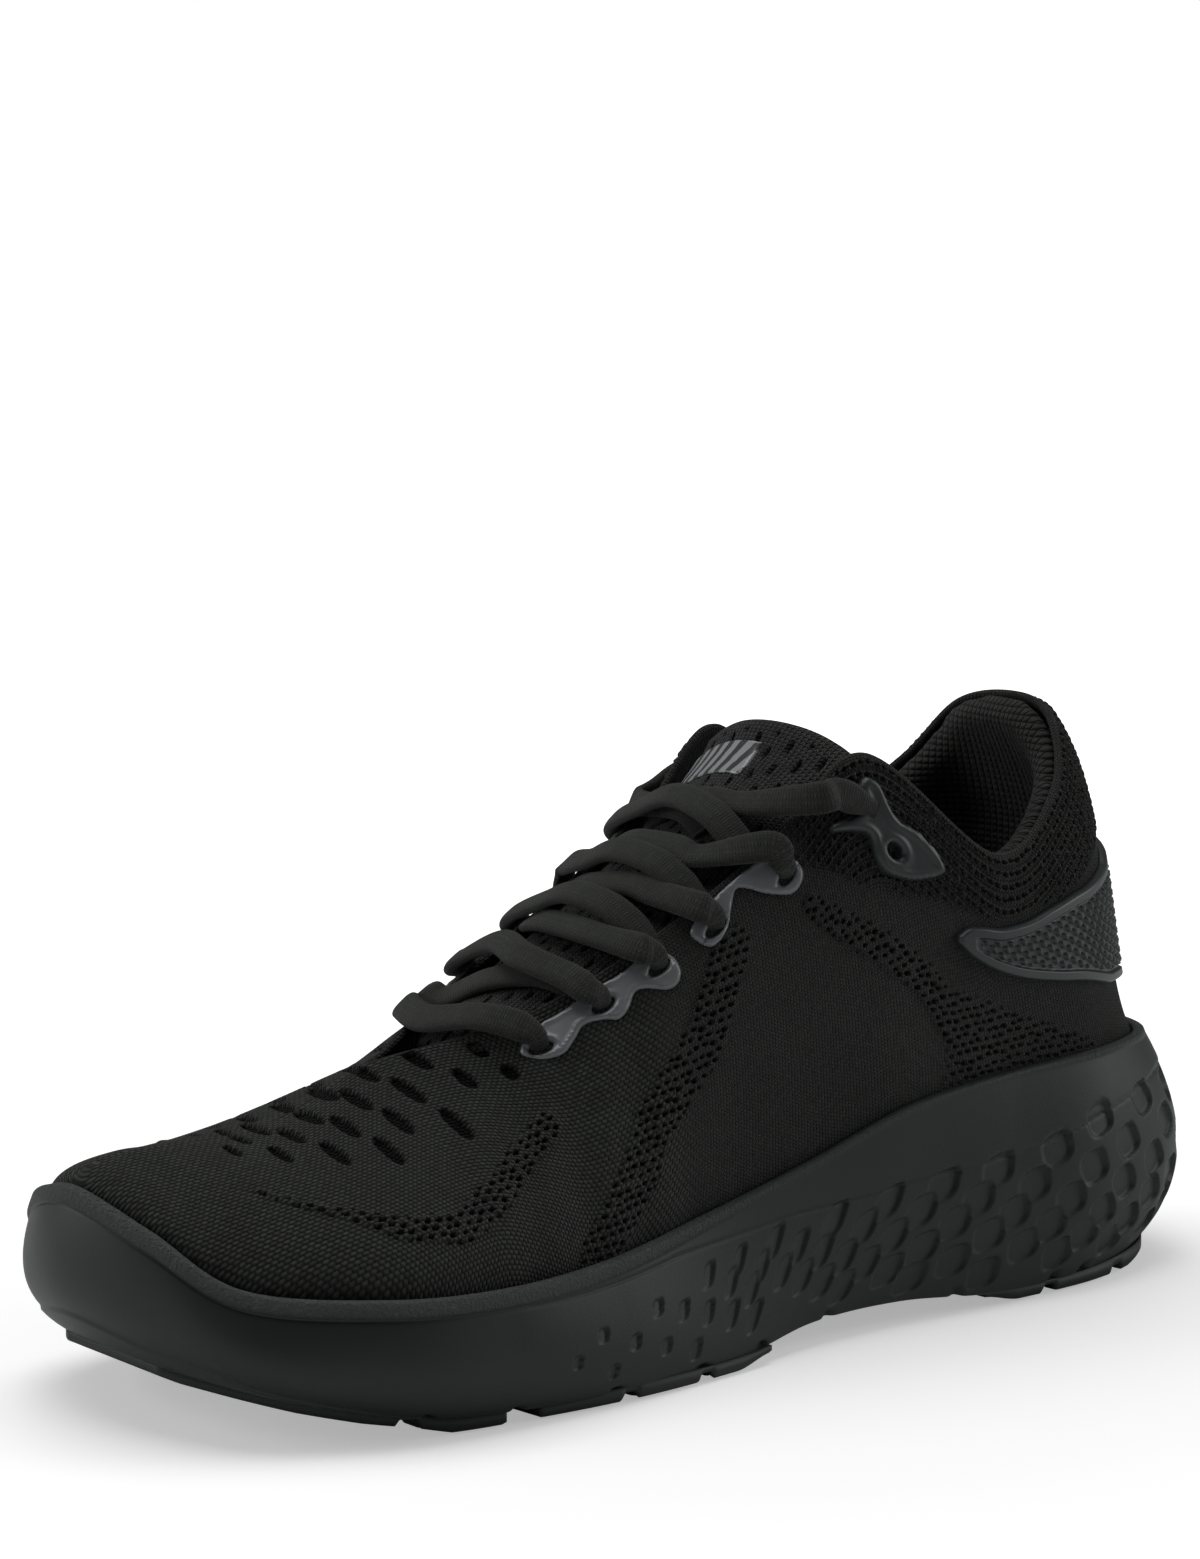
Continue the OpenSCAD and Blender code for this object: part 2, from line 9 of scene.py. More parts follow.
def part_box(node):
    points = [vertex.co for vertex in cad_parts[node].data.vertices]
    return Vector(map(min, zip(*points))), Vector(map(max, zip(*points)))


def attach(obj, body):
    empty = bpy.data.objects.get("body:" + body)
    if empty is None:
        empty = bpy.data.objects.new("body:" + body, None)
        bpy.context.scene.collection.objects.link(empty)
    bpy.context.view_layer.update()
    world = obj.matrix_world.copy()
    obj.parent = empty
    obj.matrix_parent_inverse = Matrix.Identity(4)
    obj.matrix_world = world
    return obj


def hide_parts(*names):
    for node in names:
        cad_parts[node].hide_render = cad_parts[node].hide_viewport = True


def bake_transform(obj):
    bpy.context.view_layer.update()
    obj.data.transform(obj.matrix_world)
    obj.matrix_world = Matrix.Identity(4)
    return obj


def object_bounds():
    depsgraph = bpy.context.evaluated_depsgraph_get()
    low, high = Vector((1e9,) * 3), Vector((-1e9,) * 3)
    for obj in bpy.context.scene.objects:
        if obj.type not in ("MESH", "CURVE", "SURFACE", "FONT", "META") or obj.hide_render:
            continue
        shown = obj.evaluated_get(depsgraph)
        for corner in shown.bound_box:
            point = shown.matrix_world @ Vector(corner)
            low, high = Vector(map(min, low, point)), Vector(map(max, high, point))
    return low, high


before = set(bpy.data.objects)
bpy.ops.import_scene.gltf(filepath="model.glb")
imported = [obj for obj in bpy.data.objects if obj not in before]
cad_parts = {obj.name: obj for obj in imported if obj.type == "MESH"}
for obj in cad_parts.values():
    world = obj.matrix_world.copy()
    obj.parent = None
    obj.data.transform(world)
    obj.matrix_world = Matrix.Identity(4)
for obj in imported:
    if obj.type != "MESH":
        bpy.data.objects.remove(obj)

cad_low, cad_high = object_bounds()

# ---- Driving sizes ----
# In millimetres. The shoe is drawn at one size and stretched to the frame.
MM = 0.001
DRAWN_LENGTH = 262.95
DRAWN_WIDTH = 96.6
CENTRE = np.array([1.19, -0.95])
RIM_W = 2.15
RIM_CLEAR = 0.25
HEM_CLEAR = 0.4
KNIT_T = 1.6
LACE_W = 6.4
LACE_T = 2.4
LACE_PINCH = 0.38
LACE_ROUND = 18.0

# Rows run from the toe tip to the heel: distance forward, outer edge, inner edge, height.
GROUND = [
    [122.5, -6, -6, 14.9], [116.5, 14, -24, 11.9], [102.5, 32, -37, 7.9], [83.5, 43, -43.5, 4],
    [61.5, 46, -43, 2.4], [35.5, 46, -36, 2.4], [7.5, 42, -30, 2.4], [-16.5, 36, -26, 4.7],
    [-40.5, 34, -26.5, 4.7], [-66.5, 34, -29, 2.4], [-92.5, 31.5, -29, 2.6], [-113.5, 22.5, -21, 4.6],
    [-121.5, 0, 0, 6.4],
]
WALL = [
    [134.5, -8, -8, 25], [128.5, 18, -31, 19], [116.5, 38, -45, 12], [89.5, 51, -50, 10],
    [61.5, 52, -49.5, 9], [34.5, 49, -42, 9], [7.5, 42, -35, 11], [-16.5, 38.5, -32, 14],
    [-40.5, 37.5, -31.5, 16], [-66.5, 39.5, -34, 17], [-96.5, 41, -37, 18], [-130.5, 29, -27, 19],
    [-142.5, 0, 0, 20],
]
RIM = [
    [128, -6, -6, 44.6], [124, 14, -24, 39.3], [113.5, 30, -37, 29.6], [90.5, 44, -44, 27],
    [64.5, 46.5, -42.5, 25.8], [37.5, 42.5, -37.5, 26.4], [9.5, 37.5, -32, 30.5],
    [-16.5, 35.5, -30, 36.5], [-42.5, 34.8, -29.5, 44], [-68.5, 33.5, -30, 47], [-96.5, 31, -28, 48],
    [-117.5, 19.5, -18.5, 47.8], [-124, 0, 0, 47.5],
]
CREST = [
    [112.5, -6, -6, 49.5], [109.5, -6, -6, 50], [101.5, -5.5, -5.5, 50.3], [85.5, -5, -5, 51.3],
    [63.5, -4, -4, 59.5], [38.5, 13.5, -14.5, 68.5], [9.5, 19, -19.5, 82], [-18.5, 21.5, -22, 99],
    [-38.5, 24, -25, 113.5], [-67.5, 30.3, -29.5, 91.3], [-88.5, 24, -26.5, 101.5],
    [-97.5, 13, -17.5, 114.5], [-99.5, 0, 0, 118],
]
# How the upper bulges between rim and crest: outward and up at the rim, outward and up at the crest.
BULGE = [
    [0, 4, 6, 0], [0, 5, 8, 0], [0.5, 8, 12, -0.8], [1, 11, 20, -1.5], [1.5, 15, 18, -4],
    [2, 16, 12, -9], [1, 20, 9, -12], [0, 22, 7, -14], [-0.5, 22, 5, -20], [0, 14, 3.5, -12],
    [-2, 14, 7, -14], [-7, 15, 12, -16], [-8, 15, 13, -16],
]
# Height of the floor inside the midsole cup at each row
FLOOR = [25, 23.5, 20, 18, 17, 17.5, 19.5, 22, 24.5, 25.8, 26, 26, 26]
# Tongue, from its toe end to its top: distance forward, height of the middle, half width.
TONGUE = [
    [47, 60, 8], [38.5, 67.5, 13.2], [24, 77.3, 15.5], [9.5, 85.3, 17.5], [-4.5, 94.5, 18.4],
    [-18.5, 104.1, 19], [-26.5, 112, 19.6], [-30.5, 119, 19],
]
TONGUE_ARCH = 0.0185
LOOP = 24
RIDGE_END = 4

sole_low, sole_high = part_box("midsole_rearfoot"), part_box("midsole_forefoot")
sole_length = (sole_high[1].x - sole_low[0].x) / MM
sole_width = (max(sole_low[1].y, sole_high[1].y) - min(sole_low[0].y, sole_high[0].y)) / MM
STRETCH = np.array([sole_length / DRAWN_LENGTH, sole_width / DRAWN_WIDTH])


# ---- Surfaces of the shoe ----
# s runs round the shoe: 0 toe tip, 12 heel, 24 toe again; t runs upward.
def loop_of(rows):
    """Control points out along the outer side (+Y) and back along the inner side."""
    outer = [[r[0], r[1], r[3]] for r in rows]
    inner = [[r[0], r[2], r[3]] for r in rows[-2:0:-1]]
    points = np.array(outer + inner, float)
    points[:, :2] = (points[:, :2] + CENTRE) * STRETCH
    return points


def mirrored(rows):
    return np.array(list(rows) + list(rows[-2:0:-1]), float)


ground, wall, rim, crest = (loop_of(rows) for rows in (GROUND, WALL, RIM, CREST))
bulge, floors = mirrored(BULGE), mirrored(FLOOR)
Z = np.array([0.0, 0.0, 1.0])


def smooth(low, high, x):
    q = np.clip((x - low) / (high - low), 0, 1)
    return q * q * (3 - 2 * q)


def round_over(gap, radius):
    """0 at an edge, rising on a quarter circle to 1 at the radius."""
    return np.sqrt(np.clip(1 - (1 - np.clip(gap / radius, 0, 1)) ** 2, 0, 1))


def run_along(points):
    """Length along a row of points, starting at 0."""
    return np.concatenate([[0], np.linalg.norm(np.diff(points, axis=0), axis=1).cumsum()])


def run_up(grid):
    """Length up each column of a grid, starting at 0."""
    steps = np.linalg.norm(np.diff(grid, axis=1), axis=2).cumsum(1)
    return np.concatenate([np.zeros((len(grid), 1)), steps], 1)


def stretch_of(grid):
    """Millimetres per unit of s and of t, over a grid that goes once round the shoe."""
    n, m = grid.shape[:2]
    per_s = np.linalg.norm(np.roll(grid, -1, 0) - np.roll(grid, 1, 0), axis=2) / (2 * LOOP / n)
    per_t = np.linalg.norm(np.gradient(grid, axis=1), axis=2) * (m - 1)
    return per_s, per_t


def through(a, b, c, d, f):
    """Smooth curve from b (f = 0) to c (f = 1); a comes before them and d after."""
    return 0.5 * (2 * b + (c - a) * f + (2 * a - 5 * b + 4 * c - d) * f**2 + (3 * b - a - 3 * c + d) * f**3)


def along(values, s):
    """Smooth closed curve through the control values at parameter s."""
    s = np.asarray(s, float)
    n = len(values)
    i = np.floor(s).astype(int)
    f = s - i
    if values.ndim == 2:
        f = f[..., None]
    return through(*(values[(i + k) % n] for k in (-1, 0, 1, 2)), f)


def unit(v):
    return v / np.maximum(np.linalg.norm(v, axis=-1, keepdims=True), 1e-9)


def outward(s):
    d = along(rim, np.asarray(s) + 0.01) - along(rim, np.asarray(s) - 0.01)
    return unit(np.stack([d[..., 1], -d[..., 0], 0 * d[..., 0]], -1))


def inset(s, by):
    return along(rim, s) - outward(s) * by


def side(s, t):
    """Sidewall of the midsole, from the ground edge (t = 0) to the rim (t = 1)."""
    t = np.asarray(t, float)[..., None]
    return (1 - t) ** 2 * along(ground, s) + 2 * t * (1 - t) * along(wall, s) + t * t * along(rim, s)


def rib(s, t):
    """The upper's outer skin, from the rim (t = 0) to its top edge (t = 1)."""
    s = np.asarray(s, float) % LOOP
    t = np.asarray(t, float)[..., None]
    out, h = outward(s), along(bulge, s)
    p0 = inset(s, RIM_W + RIM_CLEAR)
    here, there = along(crest, s), along(crest, LOOP - s)
    closed = ((s <= RIDGE_END) | (s >= LOOP - RIDGE_END))[..., None]
    p3 = np.where(closed, (here + there) / 2, here)
    p1 = p0 + out * h[..., 0:1] + Z * h[..., 1:2]
    p2 = p3 + out * h[..., 2:3] + Z * h[..., 3:4]
    return (1 - t) ** 3 * p0 + 3 * t * (1 - t) ** 2 * p1 + 3 * t * t * (1 - t) * p2 + t**3 * p3


def vamp(s, t):
    """rib(), with the ridge over the toes rounded off across both sides."""
    s, t = np.broadcast_arrays(np.asarray(s, float), np.asarray(t, float))
    near = np.minimum(s, LOOP - s)
    h = 0.34 * (1 - smooth(3.2, 3.98, near)) + 1e-4
    plain = rib(s, t)
    v0 = rib(s, 1 - h)
    v1 = rib(LOOP - s, 1 - h)
    step = 1e-3
    d0 = (v0 - rib(s, 1 - h - step)) / step * 2 * h[..., None]
    d1 = -(v1 - rib(LOOP - s, 1 - h - step)) / step * 2 * h[..., None]
    x = np.clip((t - (1 - h)) / (2 * h), 0, 1)[..., None]
    arch = (2 * x**3 - 3 * x**2 + 1) * v0 + (x**3 - 2 * x**2 + x) * d0 \
        + (3 * x**2 - 2 * x**3) * v1 + (x**3 - x**2) * d1
    return np.where(((near < RIDGE_END) & (t > 1 - h))[..., None], arch, plain)


def rib_normal(s, t):
    t = np.minimum(t, 0.96)
    d = 0.02
    forward = vamp(s + d, t) - vamp((s - d) % LOOP, t)
    upward = vamp(s, t + d) - vamp(s, np.maximum(t - d, 0))
    return unit(np.cross(forward, upward))


def skin(s, t, lift):
    """A point above (lift > 0) or below the upper's outer skin."""
    s, t = np.asarray(s, float), np.asarray(t, float)
    return vamp(s, t) + rib_normal(s, t) * np.asarray(lift, float)[..., None]


def row_at(rows, a):
    """Smooth open curve through the rows at parameter a."""
    rows = np.array(rows, float)
    n = len(rows) - 1
    i = np.minimum(np.floor(a).astype(int), n - 1)
    f = (a - i)[..., None]
    return through(*(rows[k] for k in (np.maximum(i - 1, 0), i, i + 1, np.minimum(i + 2, n))), f)


TONGUE_TOP = len(TONGUE) - 1


def tongue(a, b, lift):
    """A point of the tongue: a runs from its toe end (0) to its top (7), b across it (-1 to 1)."""
    a, b = np.broadcast_arrays(np.asarray(a, float), np.asarray(b, float))
    r = row_at(TONGUE, a)
    step = row_at(TONGUE, np.minimum(a + 0.01, TONGUE_TOP)) - row_at(TONGUE, np.maximum(a - 0.01, 0))
    d = unit(step[..., :2])
    y = b * r[..., 2]
    sweep = smooth(5, 7, a) * (6.5 * smooth(-0.3, 0.9, b) + 1.5 * b * b)
    lift = np.asarray(lift, float)
    x = r[..., 0] + lift * d[..., 1] - sweep
    z = r[..., 1] - TONGUE_ARCH * y * y - lift * d[..., 0]
    return np.stack([(x + CENTRE[0]) * STRETCH[0], y * STRETCH[1], z], -1)


# ---- Mesh helpers ----
def add_object(name, data):
    obj = bpy.data.objects.new(name, data)
    bpy.context.scene.collection.objects.link(obj)
    return obj


def set_values(mesh, key, values):
    """Gives each vertex a number or a vector for the material."""
    values = np.asarray(values, np.float32)
    kind, socket = ("FLOAT", "value") if values.ndim == 1 else ("FLOAT_VECTOR", "vector")
    mesh.attributes.new(key, kind, "POINT").data.foreach_set(socket, values.ravel())


def make_piece(name, points, quads, tris=(), data=None, material=None):
    """A smooth-shaded mesh object from points in millimetres."""
    quads = np.asarray(quads, np.int32).reshape(-1, 4)
    tris = np.asarray(tris, np.int32).reshape(-1, 3)
    mesh = bpy.data.meshes.new(name)
    mesh.vertices.add(len(points))
    mesh.vertices.foreach_set("co", (np.asarray(points) * MM).astype(np.float32).ravel())
    mesh.loops.add(quads.size + tris.size)
    mesh.loops.foreach_set("vertex_index", np.concatenate([quads.ravel(), tris.ravel()]))
    mesh.polygons.add(len(quads) + len(tris))
    starts = np.concatenate([np.arange(len(quads)) * 4, quads.size + np.arange(len(tris)) * 3])
    mesh.polygons.foreach_set("loop_start", starts.astype(np.int32))
    mesh.update(calc_edges=True)
    mesh.validate()
    mesh.polygons.foreach_set("use_smooth", np.ones(len(mesh.polygons), bool))
    for key, values in (data or {}).items():
        set_values(mesh, key, values)
    if material:
        mesh.materials.append(material)
    return add_object(name, mesh)


def hand_over(obj, nodes, body=None):
    """Puts a finished piece in place of its CAD nodes, on its body if it is rigid."""
    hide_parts(*nodes)
    if body:
        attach(obj, body)
    return obj


def cells(ids, wrap=False):
    """Quads over a grid of vertex numbers, facing along (first axis) x (second axis)."""
    if wrap:
        ids = np.concatenate([ids, ids[:1]])
    return np.stack([ids[:-1, :-1], ids[1:, :-1], ids[1:, 1:], ids[:-1, 1:]], -1).reshape(-1, 4)


def grid_normals(grid, wrap):
    if wrap:
        ds = np.roll(grid, -1, 0) - np.roll(grid, 1, 0)
    else:
        ds = np.gradient(grid, axis=0)
    return unit(np.cross(ds, np.gradient(grid, axis=1)))


def round_grid(surface, n, m):
    """A grid once round the shoe: s of each column; for each point its distance in s from the toe tip,
    t, place, normal and length up the column."""
    s = np.arange(n) * LOOP / n
    t = np.linspace(0, 1, m)
    grid = surface(s[:, None], t[None, :])
    near = np.minimum(s, LOOP - s)[:, None] + 0 * t
    return s, near, t + 0 * near, grid, grid_normals(grid, True), run_up(grid)


def closed_sheet(name, top, under, data=None, material=None):
    """A closed solid between two grids of the same size; data is given for the top grid."""
    n, m = top.shape[:2]
    a = np.arange(n * m).reshape(n, m)
    b = a + n * m
    faces = [cells(a), cells(b)[:, ::-1]]
    for first, second in ((b[:, 0], a[:, 0]), (a[:, -1], b[:, -1]), (a[0], b[0]), (b[-1], a[-1])):
        faces.append(cells(np.stack([first, second], 1)))
    points = np.concatenate([top.reshape(-1, 3), under.reshape(-1, 3)])
    both = {k: np.concatenate([v.reshape(n * m, -1).squeeze()] * 2) for k, v in (data or {}).items()}
    return make_piece(name, points, np.concatenate(faces), data=both, material=material)


def bridge(ids, points, across):
    """Closes a loop of vertices with strips from the outer side to the inner side.
    Gives the new points and faces; the loop has an even number of points."""
    n = len(ids)
    half = n // 2
    f = np.linspace(0, 1, across + 1)[1:-1]
    first = len(points)
    rows, new = [], []
    for i in range(1, half):
        a, b = points[ids[i]], points[ids[n - i]]
        new.append(a + (b - a) * f[:, None])
        inner = first + (i - 1) * (across - 1) + np.arange(across - 1)
        rows.append(np.concatenate([[ids[i]], inner, [ids[n - i]]]))
    rows = np.array(rows)
    quads = cells(rows)
    tip = np.array([[ids[0], rows[0][k + 1], rows[0][k]] for k in range(across)])
    end = np.array([[ids[half], rows[-1][k], rows[-1][k + 1]] for k in range(across)])
    return np.concatenate(new), quads, np.concatenate([tip, end])


def tube(path, normals, profile, width):
    """A strand: the profile (width, height) is swept along the path, its height along the normals;
    width is the share of the full width at each place of the path."""
    tangent = unit(np.gradient(path, axis=0))
    across = unit(np.cross(tangent, normals))
    up = unit(np.cross(across, tangent))
    across = across * width[:, None]
    return path[:, None] + across[:, None] * profile[None, :, 0:1] + up[:, None] * profile[None, :, 1:2]


def smooth_path(points, count):
    """Evenly spaced points on a smooth curve through the given ones."""
    points = np.array(points, float)
    dense = row_at(points, np.linspace(0, len(points) - 1, 400))
    length = run_along(dense[:, :3])
    where = np.linspace(0, length[-1], count)
    return np.stack([np.interp(where, length, dense[:, k]) for k in range(dense.shape[1])], -1)


# ---- Materials ----
def times(colour, k):
    return tuple(c * k for c in colour)


class Shader:
    """Short calls for building one node material."""

    def __init__(self, name, **values):
        self.material = bpy.data.materials.new(name)
        self.material.use_nodes = True
        self.tree = self.material.node_tree
        self.surface = self.tree.nodes["Principled BSDF"]
        for key, value in values.items():
            self.put(self.surface, key.replace("_", " "), value)

    def put(self, node, key, value):
        socket = node.inputs[key]
        if isinstance(value, bpy.types.NodeSocket):
            self.tree.links.new(value, socket)
        elif isinstance(value, tuple) and len(value) == 3 and socket.type == "RGBA":
            socket.default_value = (*value, 1)
        else:
            socket.default_value = value

    def node(self, kind, settings=None, **values):
        node = self.tree.nodes.new("ShaderNode" + kind)
        for key, value in (settings or {}).items():
            setattr(node, key, value)
        for key, value in values.items():
            numbered = key[0] == "i" and key[1:].isdigit()
            self.put(node, int(key[1:]) if numbered else key.replace("_", " "), value)
        return node

    def math(self, op, a, b=0.0, c=0.0, clamp=False):
        settings = {"operation": op, "use_clamp": clamp}
        return self.node("Math", settings, i0=a, i1=b, i2=c).outputs[0]

    def mul(self, a, b, clamp=False):
        return self.math("MULTIPLY", a, b, clamp=clamp)

    def mad(self, a, b, c):
        return self.math("MULTIPLY_ADD", a, b, c)

    def add(self, a, b):
        return self.math("ADD", a, b)

    def sine(self, value, k):
        return self.math("SINE", self.mul(value, k))

    def split(self, vector):
        return self.node("SeparateXYZ", Vector=vector).outputs

    def stitch_tint(self, x, y):
        """A random number for each whole step of x and y."""
        stitch = self.node("CombineXYZ", X=self.math("FLOOR", x), Y=self.math("FLOOR", y))
        return self.node("TexWhiteNoise", Vector=stitch.outputs[0]).outputs["Value"]

    def attribute(self, name):
        return self.node("Attribute", {"attribute_name": name})

    def place(self):
        return self.node("TexCoord").outputs["Object"]

    def noise(self, scale, detail=2.0, where=None, roughness=0.5):
        texture = self.node("TexNoise", Scale=scale, Detail=detail, Roughness=roughness)
        self.put(texture, "Vector", where or self.place())
        return texture.outputs["Fac"]

    def mix(self, factor, a, b):
        node = self.node("Mix", {"data_type": "RGBA"})
        self.put(node, 0, factor)
        self.put(node, 6, a)
        self.put(node, 7, b)
        return node.outputs[2]

    def clouded(self, colour, scale):
        """A colour with faint large patches; gives the noise too."""
        cloud = self.noise(scale, 3)
        return self.mix(cloud, times(colour, 0.85), times(colour, 1.15)), cloud

    def ramp(self, value, low, high):
        node = self.node("MapRange", {"clamp": True})
        for k, v in enumerate((value, low, high, 0.0, 1.0)):
            self.put(node, k, v)
        return node.outputs[0]

    def bump(self, height, strength, distance, below=None):
        node = self.node("Bump", Strength=strength, Distance=distance * MM, Height=height)
        if below:
            self.put(node, "Normal", below)
        return node.outputs[0]

    def complete(self, colour, normal):
        self.put(self.surface, "Base Color", colour)
        self.put(self.surface, "Normal", normal)
        return self.material


LIP_HIGHLIGHT_AND_GLUE = (0.1, 0.109, 0.107)
LIP_GLINT = (0.3, 0.3, 0.29)
HOLE_DARK = (0.0012, 0.0012, 0.0012)


def foam_material(name, colour, rough):
    """Moulded foam or rubber: fine skin grain, faint clouding, brighter sharp edges. Where the mesh has a
    'lip', the foam is painted paler with light specks and made rougher: a painted highlight, with a pale glue
    line at the heel."""
    sh = Shader(name, Roughness=rough, Specular_IOR_Level=0.36)
    tone, cloud = sh.clouded(colour, 45)
    grain = sh.noise(2600, 2)
    speck = sh.noise(1300, 3, roughness=0.7)
    fleck_and_glint = sh.ramp(speck, 0.66, 0.74)
    edge = sh.ramp(sh.node("NewGeometry").outputs["Pointiness"], 0.52, 0.6)
    patchy = sh.mad(speck, 1.3, 0.25)
    lip = sh.mul(sh.attribute("lip").outputs["Fac"], patchy, clamp=True)
    tone = sh.mix(sh.mul(fleck_and_glint, 0.1), tone, times(colour, 3))
    tone = sh.mix(sh.mul(edge, 0.3), tone, times(colour, 1.8))
    # painted highlight: along the lip the foam is painted paler with light specks as glints, with a pale glue
    # line at the heel
    tone = sh.mix(sh.math("POWER", lip, 1.4), tone, LIP_HIGHLIGHT_AND_GLUE)
    tone = sh.mix(sh.mul(lip, sh.mul(fleck_and_glint, 0.8)), tone, LIP_GLINT)
    gloss = sh.mad(cloud, 0.18, rough - 0.09)
    sh.put(sh.surface, "Roughness", sh.mad(lip, 0.3, gloss))
    return sh.complete(tone, sh.bump(sh.mul(speck, lip), 1.0, 1.2, sh.bump(grain, 0.3, 0.1)))


def weave_height(sh, place, wale, course, slant):
    """Knit stitches: V-shaped loops in columns. Gives height (0 to 1) and a number for each stitch."""
    u, v, _ = sh.split(place)
    a = sh.math("DIVIDE", u, wale)
    x = sh.mul(sh.math("ABSOLUTE", sh.math("SUBTRACT", sh.math("FRACT", a), 0.5)), 2.0)
    y = sh.add(sh.math("DIVIDE", v, course), sh.mul(x, slant))
    wave = sh.math("ABSOLUTE", sh.sine(y, math.pi))
    rib_shape = sh.math("SUBTRACT", 1.0, sh.math("POWER", x, 4.0))
    return sh.mul(sh.math("POWER", wave, 0.7), rib_shape), sh.stitch_tint(a, y)


def dot_height(sh, place, wale, course):
    """Tuck stitches: round bumps in staggered rows."""
    u, v, _ = sh.split(place)
    y = sh.math("DIVIDE", v, course)
    x = sh.mad(sh.math("FLOOR", y), 0.5, sh.math("DIVIDE", u, wale))
    fx, fy = (sh.sine(sh.math("FRACT", q), math.pi) for q in (x, y))
    return sh.mul(sh.math("POWER", fx, 0.9), sh.math("POWER", fy, 0.6)), sh.stitch_tint(x, y)


def knit_material(name, dark, light, wale, course, slant=0.55, depth=0.5, sheen=0.08, dots=None):
    """Knitted yarn. The mesh gives 'weave' (place in mm), 'hole' (openings) and 'fine' (plain knit
    instead of the dotted one)."""
    sh = Shader(name, Roughness=0.8, Sheen_Weight=sheen, Sheen_Roughness=0.4)
    place = sh.attribute("weave").outputs["Vector"]
    height, tint = weave_height(sh, place, wale, course, slant)
    if dots:
        fine = sh.attribute("fine").outputs["Fac"]
        bumps, other = dot_height(sh, place, *dots)
        coarse = sh.math("SUBTRACT", 1.0, fine)
        height = sh.add(sh.mul(height, fine), sh.mul(bumps, coarse))
        tint = sh.add(sh.mul(tint, fine), sh.mul(other, coarse))
    hole = sh.attribute("hole").outputs["Fac"]
    cloud = sh.noise(70, 3)
    fuzz = sh.noise(1500, 2)
    shade = sh.mul(height, sh.mad(tint, 0.55, 0.6))
    shade = sh.mul(shade, sh.mad(cloud, 0.7, 0.65), clamp=True)
    tone = sh.mix(shade, dark, light)
    tone = sh.mix(sh.mul(hole, 0.85), tone, HOLE_DARK)
    sh.put(sh.surface, "Specular IOR Level", sh.mad(hole, -0.2, 0.22))
    return sh.complete(tone, sh.bump(sh.add(height, sh.mul(fuzz, 0.35)), 0.9, depth))


def plastic_material(name, colour, rough, coat=0.0, grain=0.15):
    """Moulded plastic or film: slight clouding in tone and gloss, fine grain, brighter sharp edges."""
    sh = Shader(name, Roughness=rough, Coat_Weight=coat, Coat_Roughness=0.15)
    tone, cloud = sh.clouded(colour, 90)
    edge = sh.ramp(sh.node("NewGeometry").outputs["Pointiness"], 0.53, 0.62)
    tone = sh.mix(sh.mul(edge, 0.4), tone, times(colour, 1.7))
    sh.put(sh.surface, "Roughness", sh.mad(cloud, 0.16, rough - 0.08))
    return sh.complete(tone, sh.bump(sh.noise(3200, 2), grain, 0.06))


def patch_material(name, dark, light):
    """Glossy patch with plain slanted bars."""
    sh = Shader(name, Roughness=0.22, Coat_Weight=0.4, Coat_Roughness=0.1)
    x, y, _ = sh.split(sh.place())
    bars = sh.sine(sh.mad(x, 0.6, y), 2 * math.pi / (3.4 * MM))
    wobble = sh.mad(sh.noise(500, 2), 1.2, -0.6)
    bright = sh.ramp(sh.add(bars, wobble), -0.25, 0.1)
    return sh.complete(sh.mix(bright, dark, light), sh.bump(bright, 0.4, 0.1))


def cloth_material(name, dark, light, pitch, rough=0.9):
    """Plain woven or non-woven sheet, from the object's own coordinates."""
    sh = Shader(name, Roughness=rough, Sheen_Weight=0.15)
    x, y, z = sh.split(sh.place())
    k = math.pi / (pitch * MM)
    weave = sh.mad(sh.mul(sh.sine(sh.add(x, z), k), sh.sine(y, k)), 0.5, 0.5)
    tone = sh.mix(sh.mul(weave, sh.noise(160, 3)), dark, light)
    return sh.complete(tone, sh.bump(sh.add(weave, sh.noise(2200, 2)), 0.5, 0.15))


FOAM = foam_material("moulded_foam", (0.0165, 0.0212, 0.0208), 0.46)
RUBBER = foam_material("tread_rubber", (0.017, 0.0198, 0.0198), 0.52)
KNIT = knit_material("upper_knit", (0.0012, 0.0015, 0.0011),
                     (0.038, 0.044, 0.037), 0.8, 0.75, dots=(1.45, 0.86))
TONGUE_KNIT = knit_material("tongue_knit", (0.003, 0.0034, 0.003), (0.042, 0.046, 0.041), 1.0, 0.8)
LACE_WEAVE = knit_material("lace_weave", (0.012, 0.0135, 0.0115),
                           (0.038, 0.042, 0.037), 0.62, 0.8, 0.7, 0.14, 0.12)
LINING = knit_material("lining_mesh", (0.003, 0.0035, 0.0029), (0.026, 0.029, 0.025), 1.5, 1.3, 0.0, 0.6)
CLIP = plastic_material("heel_clip_plastic", (0.026, 0.0325, 0.0335), 0.4, 0.08)
FILM = plastic_material("eyelet_film", (0.14, 0.149, 0.155), 0.32, 0.25, 0.06)
LOOP_PLASTIC = plastic_material("loop_plastic", (0.02, 0.0255, 0.0265), 0.42, 0.08, 0.08)
PATCH = patch_material("label_film", (0.05, 0.052, 0.053), (0.3, 0.31, 0.32))
TIP = plastic_material("lace_tip_plastic", (0.01, 0.01, 0.01), 0.25, 0.3, 0.05)
BOARD = cloth_material("board_fabric", (0.35, 0.34, 0.31), (0.62, 0.61, 0.57), 0.9)
SHEET = cloth_material("stiffener_sheet", (0.4, 0.37, 0.3), (0.66, 0.62, 0.52), 0.5)
TAPE = cloth_material("reinforcing_tape", (0.006, 0.007, 0.006), (0.02, 0.022, 0.02), 0.6)
INSOLE = cloth_material("insole_top_cloth", (0.008, 0.009, 0.009), (0.03, 0.032, 0.032), 0.8)


